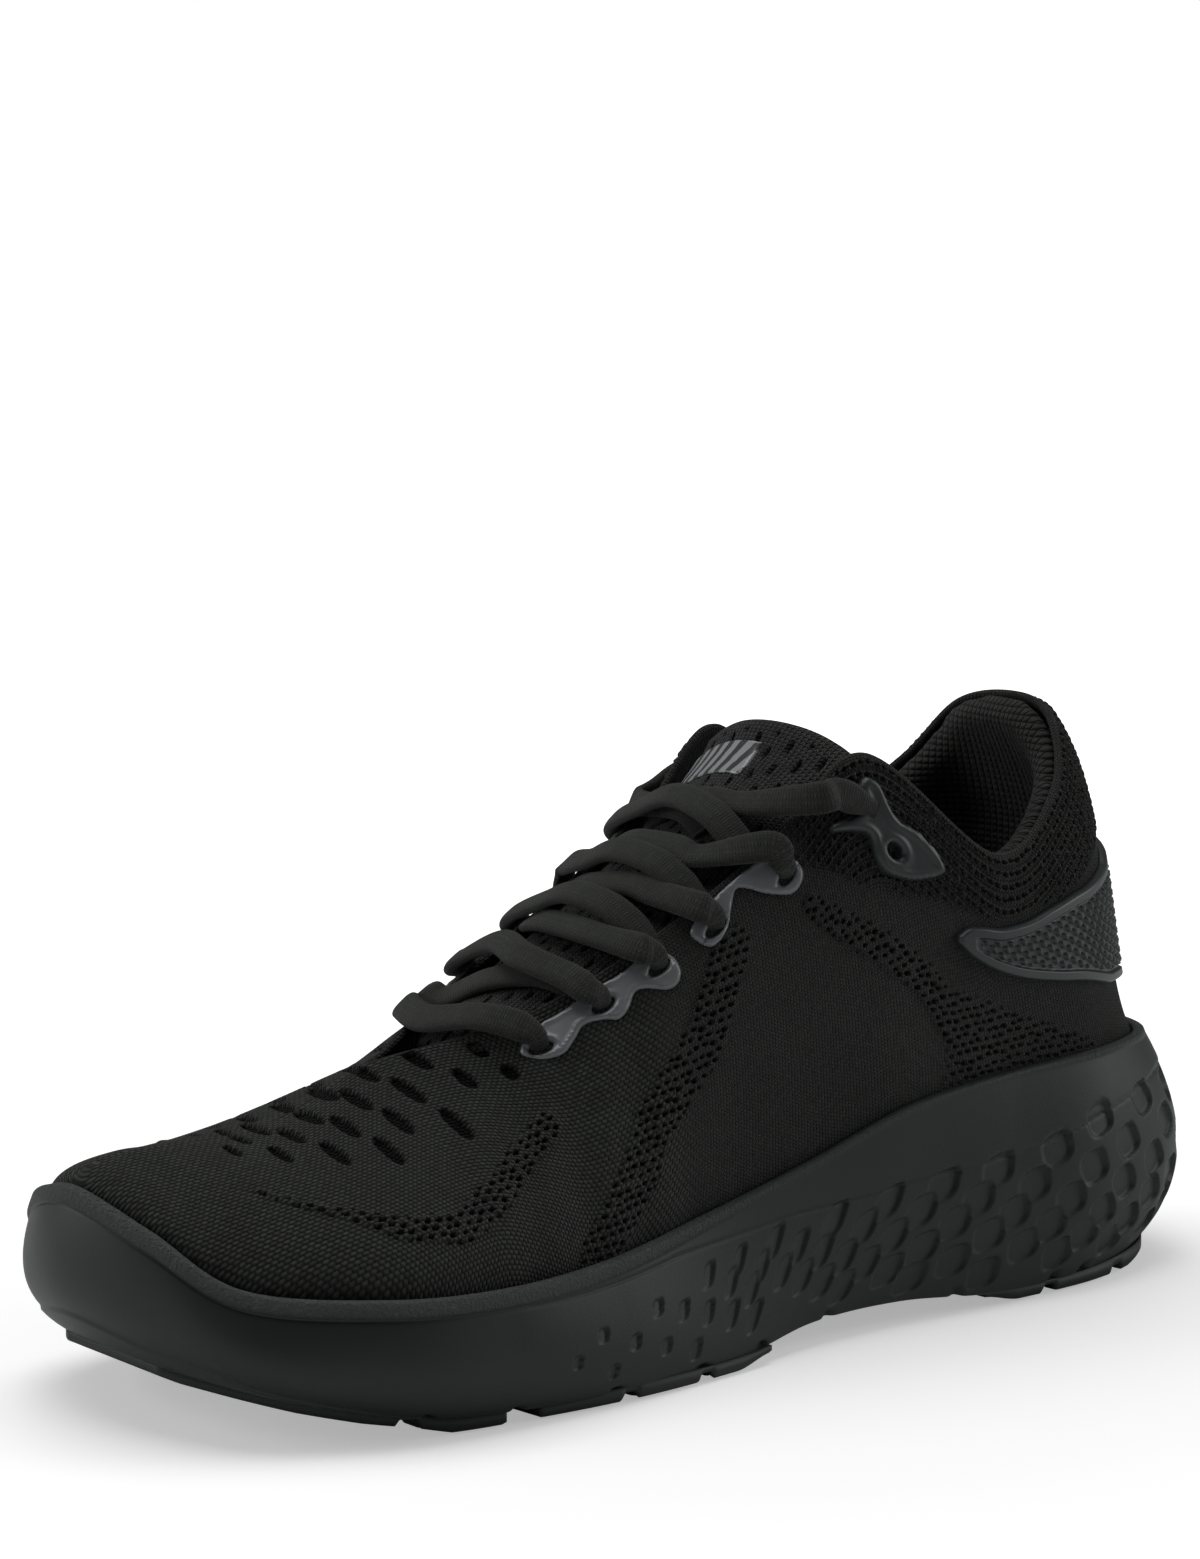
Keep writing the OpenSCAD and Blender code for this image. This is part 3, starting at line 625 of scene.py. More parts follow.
# ---- Midsole: one foam body with a moulded texture on its sidewall ----
# Rows of recessed scales on the sidewall: first scale (s, t), step to the next, how many.
SCALE_ROWS = [
    (4.44, 0.45, 0.33, -0.17, 2), (4.71, 0.61, 0.29, -0.12, 4), (5.27, 0.665, 0.24, -0.085, 5),
    (5.82, 0.72, 0.21, -0.10, 3), (6.14, 0.72, 0.23, -0.094, 6), (6.53, 0.725, 0.253, -0.09, 7),
    (7.18, 0.69, 0.32, -0.107, 6), (7.75, 0.66, 0.35, -0.094, 6), (8.32, 0.655, 0.355, -0.096, 6),
    (8.87, 0.67, 0.345, -0.1, 6), (9.42, 0.70, 0.35, -0.108, 6), (9.84, 0.775, 0.32, -0.118, 6),
    (10.4, 0.80, 0.32, -0.125, 6), (10.95, 0.80, 0.32, -0.125, 4), (11.5, 0.80, 0.32, -0.125, 2),
]
# How the scales change along the shoe: place, width, height, depth, lean, slope of the top, flatness
SCALE_SHAPES = [
    (4.4, 2.2, 2.7, 0.6, 0.2, 0.1, 0.4), (5.3, 2.7, 3.2, 0.6, 0.3, 0.1, 0.4),
    (6.2, 3.2, 5.4, 0.55, 0.65, 0.1, 0.3), (7.0, 5.2, 5.8, 0.65, 0.55, 0.1, 0.35),
    (8.0, 7.8, 6.0, 0.75, 0.35, 0.12, 0.4), (9.2, 8.0, 6.6, 0.85, -0.1, 0.25, 0.5),
    (10.0, 7.6, 7.4, 1.0, -0.5, 0.35, 0.8), (12, 7.8, 7.8, 1.0, -0.55, 0.35, 0.85),
]


def scale_relief(near, t, per_s, per_t):
    """Depth of the recessed scales: sharp at the rear upper edge, rising to the front lower edge."""
    depth = np.zeros(near.shape)
    place, *shapes = zip(*SCALE_SHAPES)
    for s0, t0, ds, dt, count in SCALE_ROWS:
        for k in range(count):
            sc, tc = s0 + k * ds, t0 + k * dt
            wide, tall, deep, lean, rise, flat = (np.interp(sc, place, q) for q in shapes)
            x = (near - sc) * per_s
            y = (t - tc) * per_t
            x, y = (x - lean * y) / (wide / 2), (y - rise * x) / (tall / 2)
            r = np.abs(x) ** 3.2 + np.abs(y) ** 3.2
            slope = np.clip(flat + (1 - flat) * (0.55 + 0.6 * x + 0.35 * y), 0.05, 1)
            depth = np.maximum(depth, deep * slope * (1 - smooth(0.7, 1.15, r)))
    return depth


# The parting line of the mould along the sidewall: places (s) and heights (t)
PARTING_AT = [0, 3.5, 4.4, 5.57, 6.77, 7.61, 8.68, 9.32, 10.07, 10.75, 12]
PARTING_T = [0.93, 0.91, 0.9, 0.9, 0.82, 0.725, 0.705, 0.733, 0.812, 0.873, 0.9]
# Places where the grooves of the tread reach the edge of the sole
NOTCHES = (3.1, 3.95, 4.84, 5.65, 6.32, 7.16, 8.55, 9.56, 9.9)


def build_midsole():
    n, m = LOOP * 60, 112
    s, near, t, grid, normals, v = round_grid(side, n, m)
    top = v[:, -1:]
    per_s, per_t = stretch_of(grid)
    push = -scale_relief(near, t, per_s, per_t)

    # the foam above the parting line stands a little proud of the textured part
    line = np.interp(near, PARTING_AT, PARTING_T)
    above = (t - line) * per_t
    push += 0.3 * smooth(-0.35, 0.35, above) - 0.3 * np.exp(-((above + 0.2) / 0.3) ** 2)
    # a lip follows the upper round the front; along it the foam is painted paler as a painted highlight
    lip_w = np.interp(near, [0, 4.6, 6.4, 7.2, 12], [3.0, 2.8, 1.4, 0.7, 0.6])
    lip = smooth(-0.35, 0.35, v - (top - lip_w))
    push += np.interp(near, [0, 5, 7, 12], [0.45, 0.4, 0.2, 0.15]) * lip
    # painted highlight along the lip: strong at the front, faint at the midfoot, and a pale glue line at the
    # heel
    highlight_and_glue = 1 - 0.85 * smooth(5.2, 6.8, near) + 0.7 * smooth(9.4, 10, near)
    lip = lip * np.exp((v - top) / 2.4) * highlight_and_glue
    # the tread wraps up over the front of the toe as a low step
    wrap = (np.interp(near, [0, 0.9, 1.56, 2.15, 3.05], [0.24, 0.25, 0.29, 0.19, -0.02]) - t) * per_t
    push += 0.5 * smooth(-0.5, 0.5, wrap) * (near < 3.2)
    for place in NOTCHES:
        push -= 0.9 * np.exp(-(((near - place) * 25) / 1.3) ** 2) * (1 - smooth(0.02, 0.1, t))
    grid = grid + normals * push[..., None]

    edge = []
    for by, up in ((0.5, 0.32), (1.1, 0.42), (1.7, 0.25), (RIM_W, -0.25)):
        edge.append(inset(s, by) + Z * up)
    base = along(floors, s)
    for f in (0.33, 0.66, 1.0):
        p = inset(s, RIM_W + 0.35 * f)
        p[:, 2] = edge[3][:, 2] + (base - edge[3][:, 2]) * f
        edge.append(p)
    grid = np.concatenate([grid, np.stack(edge, 1)], 1)
    rows = grid.shape[1]
    ids = np.arange(n * rows).reshape(n, rows)
    points = grid.reshape(-1, 3)
    quads = [cells(ids, True)]
    under, q, tri_a = bridge(ids[:, 0], points, 40)
    quads.append(q)
    points = np.concatenate([points, under])
    upper_floor, q, tri_b = bridge(ids[:, -1], points, 10)
    quads.append(q[:, ::-1])
    points = np.concatenate([points, upper_floor])
    lip_all = np.zeros(len(points))
    lip_all[: n * rows].reshape(n, rows)[:, :m] = lip
    lip_all[: n * rows].reshape(n, rows)[:, m: m + 3] = lip[:, -1:]
    obj = make_piece("midsole", points, np.concatenate(quads), np.concatenate([tri_a, tri_b[:, ::-1]]),
                     {"lip": lip_all}, FOAM)
    return hand_over(obj, ("midsole_rearfoot", "midsole_flex_zone", "midsole_forefoot"))


# ---- Knitted upper ----
def path_distance(u, v, path):
    """Distance from (u, v) to a path of points, and how far along it the nearest place is."""
    best = np.full(u.shape, 1e9)
    run = np.zeros(u.shape)
    start = 0.0
    for (x0, y0), (x1, y1) in zip(path[:-1], path[1:]):
        dx, dy = x1 - x0, y1 - y0
        size = math.hypot(dx, dy)
        f = np.clip(((u - x0) * dx + (v - y0) * dy) / size**2, 0, 1)
        d = np.hypot(u - x0 - f * dx, v - y0 - f * dy)
        nearer = d < best
        best = np.where(nearer, d, best)
        run = np.where(nearer, start + f * size, run)
        start += size
    return best, run


# Rows of openings in the knit: pitches, half sizes, lean and how far each one strays
OPENINGS = {"pitch_x": 2.3, "pitch_y": 1.8, "rx": 0.78, "ry": 0.58, "slant": 0.25, "stray": 0.7}
COLLAR_ROWS = {"pitch_x": 1.9, "pitch_y": 2.5, "rx": 0.7, "ry": 0.6, "stray": 0.3}
SLITS = {"pitch_x": 5.4, "pitch_y": 3.6, "rx": 1.5, "ry": 0.5}


def staggered(x, y, pitch_x, pitch_y):
    """Offset from the nearest centre in staggered rows, its number in the row and the row's number."""
    row = np.floor(y / pitch_y)
    k = x / pitch_x + 0.5 * (row % 2)
    return (k - np.floor(k) - 0.5) * pitch_x, (y / pitch_y - row - 0.5) * pitch_y, np.floor(k), row


def hole_lattice(x, y, pitch_x, pitch_y, rx, ry, slant=0.0, stray=0.0):
    """Staggered rows of oval openings, 1 inside and 0 outside; stray shifts each one a little."""
    dx, dy, k, row = staggered(x, y, pitch_x, pitch_y)
    odd = np.sin(k * 12.9898 + row * 78.233) * 43758.5453
    odd = odd - np.floor(odd)
    dx = dx + stray * (odd - 0.5)
    dy = dy + stray * (np.abs(2 * odd - 1) - 0.5)
    dx = dx + slant * dy
    size = 1 - 0.5 * stray * (1 - odd)
    return 1 - smooth(0.35, 1.3, ((dx / rx) ** 2 + (dy / ry) ** 2) / size**2)


# Rows of vents over the toes: first vent (s, t), step to the next, how many.
VENT_ROWS = [
    (2.6, 0.85, 0.34, -0.075, 4), (2.8, 0.94, 0.35, -0.077, 5), (3.02, 0.975, 0.36, -0.055, 4),
    (4.46, 0.80, 0.28, -0.01, 2), (3.62, 0.985, 0.35, -0.02, 4),
]
# Open bands in the knit: path in (s, t), then the half width at each place in millimetres.
BANDS = [
    ([(6.45, 0.765), (6.29, 0.662), (6.11, 0.547), (5.82, 0.465), (5.55, 0.38), (5.37, 0.26), (4.96, 0.043)],
     [4.2, 4.6, 5.0, 5.0, 5.0, 5.2, 5.4]),
    ([(2.53, 0.58), (2.8, 0.492), (3.05, 0.43), (3.35, 0.323), (3.79, 0.27), (4.24, 0.372), (4.5, 0.473),
      (4.76, 0.55)],
     [0.7, 0.9, 1.3, 2.4, 3.2, 3.4, 3.2, 2.6]),
    ([(7.17, 0.705), (7.81, 0.478), (8.27, 0.362), (8.57, 0.193), (8.9, 0.043)],
     [2.0, 2.8, 3.2, 3.6, 4.2]),
]


# Lower edge of the rows that follow the collar: places (s) and heights (t)
ROWS_AT = [7.0, 7.23, 7.72, 8.2, 8.62, 9.28, 9.72, 12]
ROWS_FLOOR = [0.88, 0.81, 0.65, 0.60, 0.665, 0.715, 0.645, 0.64]


def knit_features(near, t, u, v, crest_gap, per_s, per_t):
    """Openings (hole, 0 to 1) and relief in millimetres of the engineered knit."""
    half = near.shape[0] // 2 + 1

    def spot(s, level):
        i = np.abs(near[:half, 0] - s).argmin()
        j = np.abs(t[0] - level).argmin()
        return u[i, j], v[i, j]

    hole = np.zeros(near.shape)
    # vents over the toes
    for s0, t0, ds, dt, count in VENT_ROWS:
        for k in range(count):
            sc, tc = s0 + k * ds, t0 + k * dt
            long = np.interp(sc, [2.5, 3.3, 4.2, 4.45, 4.8], [5.2, 9.4, 9.6, 6.0, 3.4])
            y = (t - tc) * per_t
            x = (near - sc) * per_s + 0.13 * y
            r = (x / np.interp(sc, [2.5, 3.3, 4.2], [1.0, 1.35, 1.45])) ** 2 + np.abs(y / (long / 2)) ** 3
            hole = np.maximum(hole, 1 - smooth(0.6, 1.3, r))
    # small openings of the knit, shown inside the open bands
    eyelets = hole_lattice(u, v, **OPENINGS)
    open_zone = np.zeros(near.shape)
    for places, widths in BANDS:
        path = [spot(*p) for p in places]
        gap, run = path_distance(u, v, path)
        width = np.interp(run, run_along(np.array(path)), widths)
        open_zone = np.maximum(open_zone, 1 - smooth(-0.5, 0.9, gap - width))
    # coarse knit behind the rear band, above the rim
    ceiling = np.interp(near, [8.2, 8.45, 8.9, 9.45, 10.05], [0.36, 0.36, 0.33, 0.19, 0.03])
    coarse = smooth(8.3, 8.6, near) * (1 - smooth(9.9, 10.2, near)) * smooth(-0.02, 0.03, ceiling - t)
    open_zone = np.maximum(open_zone, 0.8 * coarse)
    hole = np.maximum(hole, 0.6 * open_zone * eyelets)
    relief = 0.42 * open_zone * (1 - eyelets)
    # coarse rows that follow the top edge from the lace loop to the heel
    floor_t = np.interp(near, ROWS_AT, ROWS_FLOOR)
    rows = smooth(-0.015, 0.015, t - floor_t) * smooth(7.0, 7.4, near) * smooth(0.3, 0.9, crest_gap)
    knots = hole_lattice(u, crest_gap, **COLLAR_ROWS)
    hole = np.maximum(hole, 0.45 * rows * knots)
    relief += rows * (0.75 * np.abs(np.sin(math.pi * crest_gap / COLLAR_ROWS["pitch_y"])) * (1 - 0.6 * knots))
    return hole, relief


def build_upper():
    n, m, inner_m = LOOP * 64, 230, 34
    s, near, t, grid, normals, v = round_grid(vamp, n, m)
    crest_gap = v[:, -1:] - v
    knots = np.linspace(0, LOOP / 2, n // 2 + 1)
    low_run, top_run = run_along(rib(knots, 0 * knots)), run_along(rib(knots, 0 * knots + 1))
    u_low = np.interp(near, knots, low_run - low_run[-1])
    u_top = np.interp(near, knots, top_run - top_run[-1])
    u = u_low * (1 - t) + u_top * t
    hole, relief = knit_features(near, t, u, v, crest_gap, *stretch_of(grid))
    edge_fade = smooth(0.1, 0.8, crest_gap) + (near < RIDGE_END)
    hole = hole * np.clip(edge_fade, 0, 1) * smooth(0.3, 1.2, v)
    push = relief * np.clip(edge_fade, 0, 1) - 1.05 * hole
    # soft creases across the ball of the foot
    ball = smooth(3.6, 4.6, near) * (1 - smooth(5.4, 6.6, near))
    push += 0.25 * np.sin(u * 0.42 + 0.9 * np.sin(v * 0.11)) * ball
    outer = grid + normals * push[..., None]
    inner_t = np.linspace(0, m - 1, inner_m).astype(int)
    inner = grid[:, inner_t] - normals[:, inner_t] * KNIT_T

    hem_out = inset(s, RIM_W + RIM_CLEAR + HEM_CLEAR)
    hem_in = inset(s, RIM_W + RIM_CLEAR + HEM_CLEAR + KNIT_T)
    hem_out[:, 2] = hem_in[:, 2] = along(floors, s) + HEM_CLEAR
    # a rolled edge between the outer and inner skin
    rise = unit(grid[:, -1] - grid[:, -3])
    mid = grid[:, -1] - normals[:, -1] * KNIT_T / 2
    roll = []
    for angle in (0.25, 0.5, 0.75):
        c, r = math.cos(angle * math.pi), math.sin(angle * math.pi)
        roll.append(mid + normals[:, -1] * (KNIT_T / 2 * c) + rise * (KNIT_T / 2 * r))

    columns = [hem_out[:, None], outer, np.stack(roll, 1), inner[:, ::-1], hem_in[:, None]]
    points = np.concatenate(columns, 1)
    rows = points.shape[1]
    ids = np.arange(n * rows).reshape(n, rows)
    share = int(RIDGE_END / LOOP * n)
    top_row, inner_row = m, m + 4
    for row in (top_row, inner_row):
        for i in range(1, share + 1):
            ids[n - i, row] = ids[i, row]
    faces = [cells(ids[:, : top_row + 1], True), cells(ids[:, inner_row:], True)]
    open_ids = ids[share: n - share + 1, top_row: inner_row + 1]
    faces.append(cells(open_ids))
    hem = np.stack([ids[:, -1], ids[:, 0]], 1)
    faces.append(cells(hem, True))
    # over the toes the knit runs straight forward, with its rows measured from the ridge
    ridge_s = np.linspace(0, RIDGE_END, 60)
    ridge = along(crest, ridge_s)
    ridge[:, 1] = (ridge[:, 1] + along(crest, LOOP - ridge_s)[:, 1]) / 2
    ridge_u = np.interp(ridge_s, knots, top_run - top_run[-1])
    back = -grid[..., 0]
    flat_u = np.interp(back, -ridge[:, 0], ridge_u) - np.maximum(-ridge[0, 0] - back, 0)
    drop = np.hypot(grid[..., 1] - np.interp(back, -ridge[:, 0], ridge[:, 1]),
                    grid[..., 2] - np.interp(back, -ridge[:, 0], ridge[:, 2]))
    front = 1 - smooth(3.0, 5.0, near)
    knit_u, knit_v = u + (flat_u - 8 - u) * front, crest_gap + (drop - crest_gap) * front
    weave = np.zeros(points.shape)
    hole_all = np.zeros(points.shape[:2])
    weave[..., 0] = u_low[:, :1]
    fine = np.repeat(smooth(5.6, 6.2, near[:, :1]), points.shape[1], 1)
    weave[:, 1:m + 1, 0], weave[:, 1:m + 1, 1] = knit_u, knit_v
    weave[:, m + 1:, 0] = u_top[:, :1]
    weave[:, m + 1:, 1] = -0.8 * np.arange(1, rows - m)
    hole_all[:, 1:m + 1] = hole
    obj = make_piece("upper_knit", points.reshape(-1, 3), np.concatenate(faces),
                     data={"weave": weave.reshape(-1, 3), "hole": hole_all.ravel(), "fine": fine.ravel()},
                     material=KNIT)
    return hand_over(obj, ("upper_quarters", "upper_flex_zone", "upper_toe_box"))


# ---- Heel clip, films and loops moulded onto the upper ----
# Upper and lower edge of the heel clip: places (s) and heights (t)
CLIP_LOW_AT = [8.56, 8.64, 8.8, 9.0, 9.6, 10.34, 11.37, 12]
CLIP_LOW_T = [0.525, 0.495, 0.475, 0.45, 0.34, 0.235, 0.18, 0.17]
CLIP_HIGH_AT = [8.56, 8.64, 8.8, 9.1, 9.47, 10.0, 10.7, 11.3, 12]
CLIP_HIGH_T = [0.53, 0.595, 0.635, 0.662, 0.66, 0.615, 0.57, 0.58, 0.6]
STUD_PITCH = (2.3, 2.1)
STUD_R = 0.78


def build_heel_clip():
    n, m = 760, 150
    s = np.linspace(CLIP_LOW_AT[0], LOOP - CLIP_LOW_AT[0], n)
    near = np.minimum(s, LOOP - s)
    kernel = np.hanning(25) / np.hanning(25).sum()
    edges = (np.interp(near, CLIP_LOW_AT, CLIP_LOW_T), np.interp(near, CLIP_HIGH_AT, CLIP_HIGH_T))
    low, high = (np.convolve(np.pad(q, 12, "edge"), kernel, "valid") for q in edges)
    t = low[:, None] + (high - low)[:, None] * np.linspace(0, 1, m)
    ss = s[:, None] + 0 * t
    base, normals = vamp(ss, t), rib_normal(ss, t)
    v = run_up(base)
    run = run_along(base[:, m // 2])
    end_gap = np.minimum(run, run[-1] - run)[:, None]
    gap = np.minimum(np.minimum(v, v[:, -1:] - v), end_gap * 0.75)
    field = smooth(2.0, 2.6, gap) * smooth(4, 6, end_gap)
    dx, dy, _, _ = staggered(end_gap + 0 * v, v + 0.35 * end_gap, *STUD_PITCH)
    r = np.hypot(dx, dy) / STUD_R
    stud = np.sqrt(np.clip(1 - r**2, 0, 1)) * smooth(2.7, 3.3, gap) * smooth(5.5, 7, end_gap)
    lift = 0.25 + 1.45 * round_over(gap, 0.9) - 0.7 * field + 0.95 * stud
    top, under = base + normals * lift[..., None], base + normals * 0.1
    obj = closed_sheet("heel_clip_studded", top, under, material=CLIP)
    hand_over(obj, ("heel_clip",), "rearfoot")


def inside(points, outline):
    """Which of the points lie inside a closed outline."""
    x, y = points[:, 0:1], points[:, 1:2]
    x0, y0 = outline[:, 0], outline[:, 1]
    x1, y1 = np.roll(x0, -1), np.roll(y0, -1)
    crosses = ((y0 <= y) != (y1 <= y)) & (x < x0 + (y - y0) / np.where(y1 == y0, 1e-9, y1 - y0) * (x1 - x0))
    return crosses.sum(1) % 2 == 1


def within(points, outline, holes):
    """Which of the points lie inside the outline and outside its holes."""
    keep = inside(points, outline)
    for hole in holes:
        keep &= ~inside(points, hole)
    return keep


def round_outline(points, per_step=5):
    points = np.array(points, float)
    return along(points, np.arange(0, len(points), 1 / per_step))


def surface_patch(name, outline, holes, spacing, place, height, material):
    """A moulded piece on a surface. Outlines are in surface coordinates; place(s, t, lift) gives points,
    and height(edge distance in mm) gives the lift of its top. Its underside lies on the surface."""
    rings = [outline] + holes
    xs = np.arange(outline[:, 0].min(), outline[:, 0].max(), spacing[0])
    ys = np.arange(outline[:, 1].min(), outline[:, 1].max(), spacing[1])
    cloud = np.stack(np.meshgrid(xs, ys), -1).reshape(-1, 2)
    cloud = cloud[within(cloud, outline, holes)]
    border = np.concatenate(rings)
    gap = np.min([np.hypot(*((cloud - b) / spacing).T) for b in border], 0)
    cloud = cloud[gap > 0.55]
    flat = np.concatenate([border, cloud])
    edges, first = [], 0
    for ring in rings:
        k = len(ring)
        edges += [(first + i, first + (i + 1) % k) for i in range(k)]
        first += k
    done = delaunay_2d_cdt([Vector(p / spacing) for p in flat], edges, [], 0, 1e-7)
    flat = np.array([list(p) for p in done[0]]) * spacing
    tris = np.array([f for f in done[2] if len(f) == 3])
    tris = tris[within(flat[tris].mean(1), outline, holes)]
    base = place(flat[:, 0], flat[:, 1], np.zeros(len(flat)))
    rim_points = place(border[:, 0], border[:, 1], np.zeros(len(border)))
    gap = np.full(len(flat), 1e9)
    for p in rim_points:
        gap = np.minimum(gap, np.linalg.norm(base - p, axis=1))
    top = place(flat[:, 0], flat[:, 1], height(gap))
    under = place(flat[:, 0], flat[:, 1], np.full(len(flat), 0.05))
    flip = np.cross(top[tris[:, 1]] - top[tris[:, 0]], top[tris[:, 2]] - top[tris[:, 0]])
    out = place(flat[tris[:, 0], 0], flat[tris[:, 0], 1], np.ones(len(tris))) - base[tris[:, 0]]
    if (flip * out).sum() < 0:
        tris = tris[:, ::-1]
    sides = {e: True for a, b, c in tris for e in ((a, b), (b, c), (c, a))}
    walls = [(b, a, a + len(flat), b + len(flat)) for a, b in sides if (b, a) not in sides]
    faces = np.concatenate([tris, tris[:, ::-1] + len(flat)])
    return make_piece(name, np.concatenate([top, under]), walls, faces, material=material)


# Eyelets and outlines of the moulded pieces, in (s, t)
EYELETS = [(5.0, 0.84), (5.49, 0.88), (5.93, 0.885), (6.38, 0.875), (6.99, 0.85)]
FILM_FRONT = [
    (4.87, 0.855), (4.96, 0.80), (5.11, 0.785), (5.23, 0.82), (5.32, 0.85), (5.45, 0.83), (5.54, 0.80),
    (5.63, 0.815), (5.71, 0.855), (5.79, 0.845), (5.93, 0.79), (6.02, 0.79), (6.06, 0.83), (6.03, 0.90),
    (5.92, 0.965), (5.7, 0.955), (5.49, 0.96), (5.25, 0.945), (5.05, 0.93),
]
FILM_REAR = [
    (6.5, 0.985), (6.84, 0.975), (7.0, 0.925), (7.13, 0.84), (7.12, 0.795), (6.99, 0.785), (6.79, 0.85),
    (6.65, 0.925), (6.58, 0.945), (6.51, 0.89), (6.44, 0.835), (6.33, 0.82), (6.24, 0.87), (6.22, 0.94),
]
LACE_LOOP = [
    (7.84, 0.90), (7.93, 0.935), (8.05, 0.915), (8.10, 0.865), (8.17, 0.825), (8.32, 0.825), (8.46, 0.80),
    (8.50, 0.75), (8.38, 0.69), (8.19, 0.645), (7.99, 0.65), (7.91, 0.69), (7.87, 0.76), (7.70, 0.795),
    (7.50, 0.835), (7.49, 0.86), (7.68, 0.838), (7.82, 0.84), (7.86, 0.865),
]
LOOP_HOLE = (8.09, 0.72)


def oval_ring(centre, rx, ry, count=28):
    q = np.arange(count) * 2 * math.pi / count
    return np.stack([centre[0] + rx * np.cos(q), centre[1] + ry * np.sin(q)], -1)


def film_height(gap):
    return 0.25 + 0.5 * round_over(gap, 0.5) + 0.25 * np.exp(-((gap - 0.75) / 0.3) ** 2)


def loop_height(gap):
    return 0.4 + 1.9 * round_over(gap, 1.3) - 0.3 * smooth(1.3, 2.6, gap)


def build_hardware():
    """Eyelet films and lace loops on both sides."""
    for word, turn in (("lateral", False), ("medial", True)):
        def place(s, t, lift):
            return skin(LOOP - s if turn else s, t, lift)

        for part, outline, eyes in (("front", FILM_FRONT, EYELETS[:3]), ("rear", FILM_REAR, EYELETS[3:])):
            holes = [oval_ring(e, 0.085, 0.026) for e in eyes]
            piece = surface_patch(f"eyelet_film_{word}_{part}_cut", round_outline(outline), holes,
                                  np.array([0.03, 0.010]), place, film_height, FILM)
            hand_over(piece, (f"eyelet_film_{word}_{part}",), "rearfoot")
        holes = [oval_ring(LOOP_HOLE, 0.055, 0.02)]
        piece = surface_patch(f"lace_loop_{word}_moulded", round_outline(LACE_LOOP), holes,
                              np.array([0.022, 0.0075]), place, loop_height, LOOP_PLASTIC)
        hand_over(piece, (f"lace_loop_{word}",), "rearfoot")


# ---- Tongue ----
TONGUE_T = 4.7
# The patch on the tongue: from and to, along it and across it
PATCH_A = (5.5, 6.3)
PATCH_B = (-0.98, 0.12)


def build_tongue():
    """The padded tongue and its glossy patch."""
    n, m = 300, 130
    a = np.linspace(0, TONGUE_TOP, n)[:, None]
    b = np.linspace(-1, 1, m)[None, :]
    top = tongue(a, b, 0.0)
    v = run_along(top[:, m // 2])[:, None] + 0 * b
    half = row_at(TONGUE, a + 0 * b)[..., 2]
    u = b * half
    edge = np.minimum(half - np.abs(u), v[-1] - v)
    plump = round_over(edge, 3.2)
    slits = hole_lattice(v, u + 1.2, **SLITS) * smooth(2, 3, edge)
    raised = 3.0 * (1 - smooth(0.2, 1.9, a))
    outer = tongue(a, b, -1.3 * (1 - plump) + 0.35 * plump - 0.8 * slits + raised)
    under = tongue(a, b, -TONGUE_T + 1.9 * (1 - plump) + raised)
    weave = np.stack([u, v, 0 * u], -1)
    obj = closed_sheet("tongue_padded", outer, under, {"weave": weave, "hole": slits}, TONGUE_KNIT)
    hand_over(obj, ("tongue_face", "tongue_foam", "tongue_top_face", "tongue_top_foam"))
    a = np.linspace(*PATCH_A, 40)[:, None]
    b = np.linspace(*PATCH_B, 60)[None, :]
    edge_a = np.minimum(a - PATCH_A[0], PATCH_A[1] - a) * 9
    edge_b = np.minimum(b - PATCH_B[0], PATCH_B[1] - b) * 19
    crown = round_over(np.minimum(edge_a, edge_b), 0.4)
    outer, under = tongue(a, b, 0.42 + 0.3 * crown), tongue(a, b, 0 * crown + 0.3)
    patch = closed_sheet("tongue_patch", outer, under, material=PATCH)
    return obj, hand_over(patch, ("tongue_label",))


# ---- Laces ----
def on_tongue(a, b, lift):
    """A point above the tongue and the direction away from it."""
    p, q = (tongue(np.array([a]), np.array([b]), np.array([h]))[0] for h in (lift, lift - 1.0))
    return np.concatenate([p, unit(p - q)])


def on_skin(s, t, lift, medial=False):
    """A point above the upper and the direction away from it."""
    s = np.array([LOOP - s if medial else s])
    p, q = (skin(s, np.array([t]), np.array([h]))[0] for h in (lift, lift - 1.0))
    return np.concatenate([p, unit(p - q)])


# Pairs of crossing strands: eyelet (s, t), where the top strand turns on the inner side,
# its middle and its end on the tongue, and the two places where the other strand crosses the tongue.
LACE_PAIRS = (
    (5.93, 0.885, 5.86, 2.76, 2.95, 2.42, 2.45),
    (6.38, 0.875, 6.38, 3.62, 3.78, 3.2, 3.38),
    (6.97, 0.85, 6.82, 4.6, 4.62, 4.0, 4.08),
)


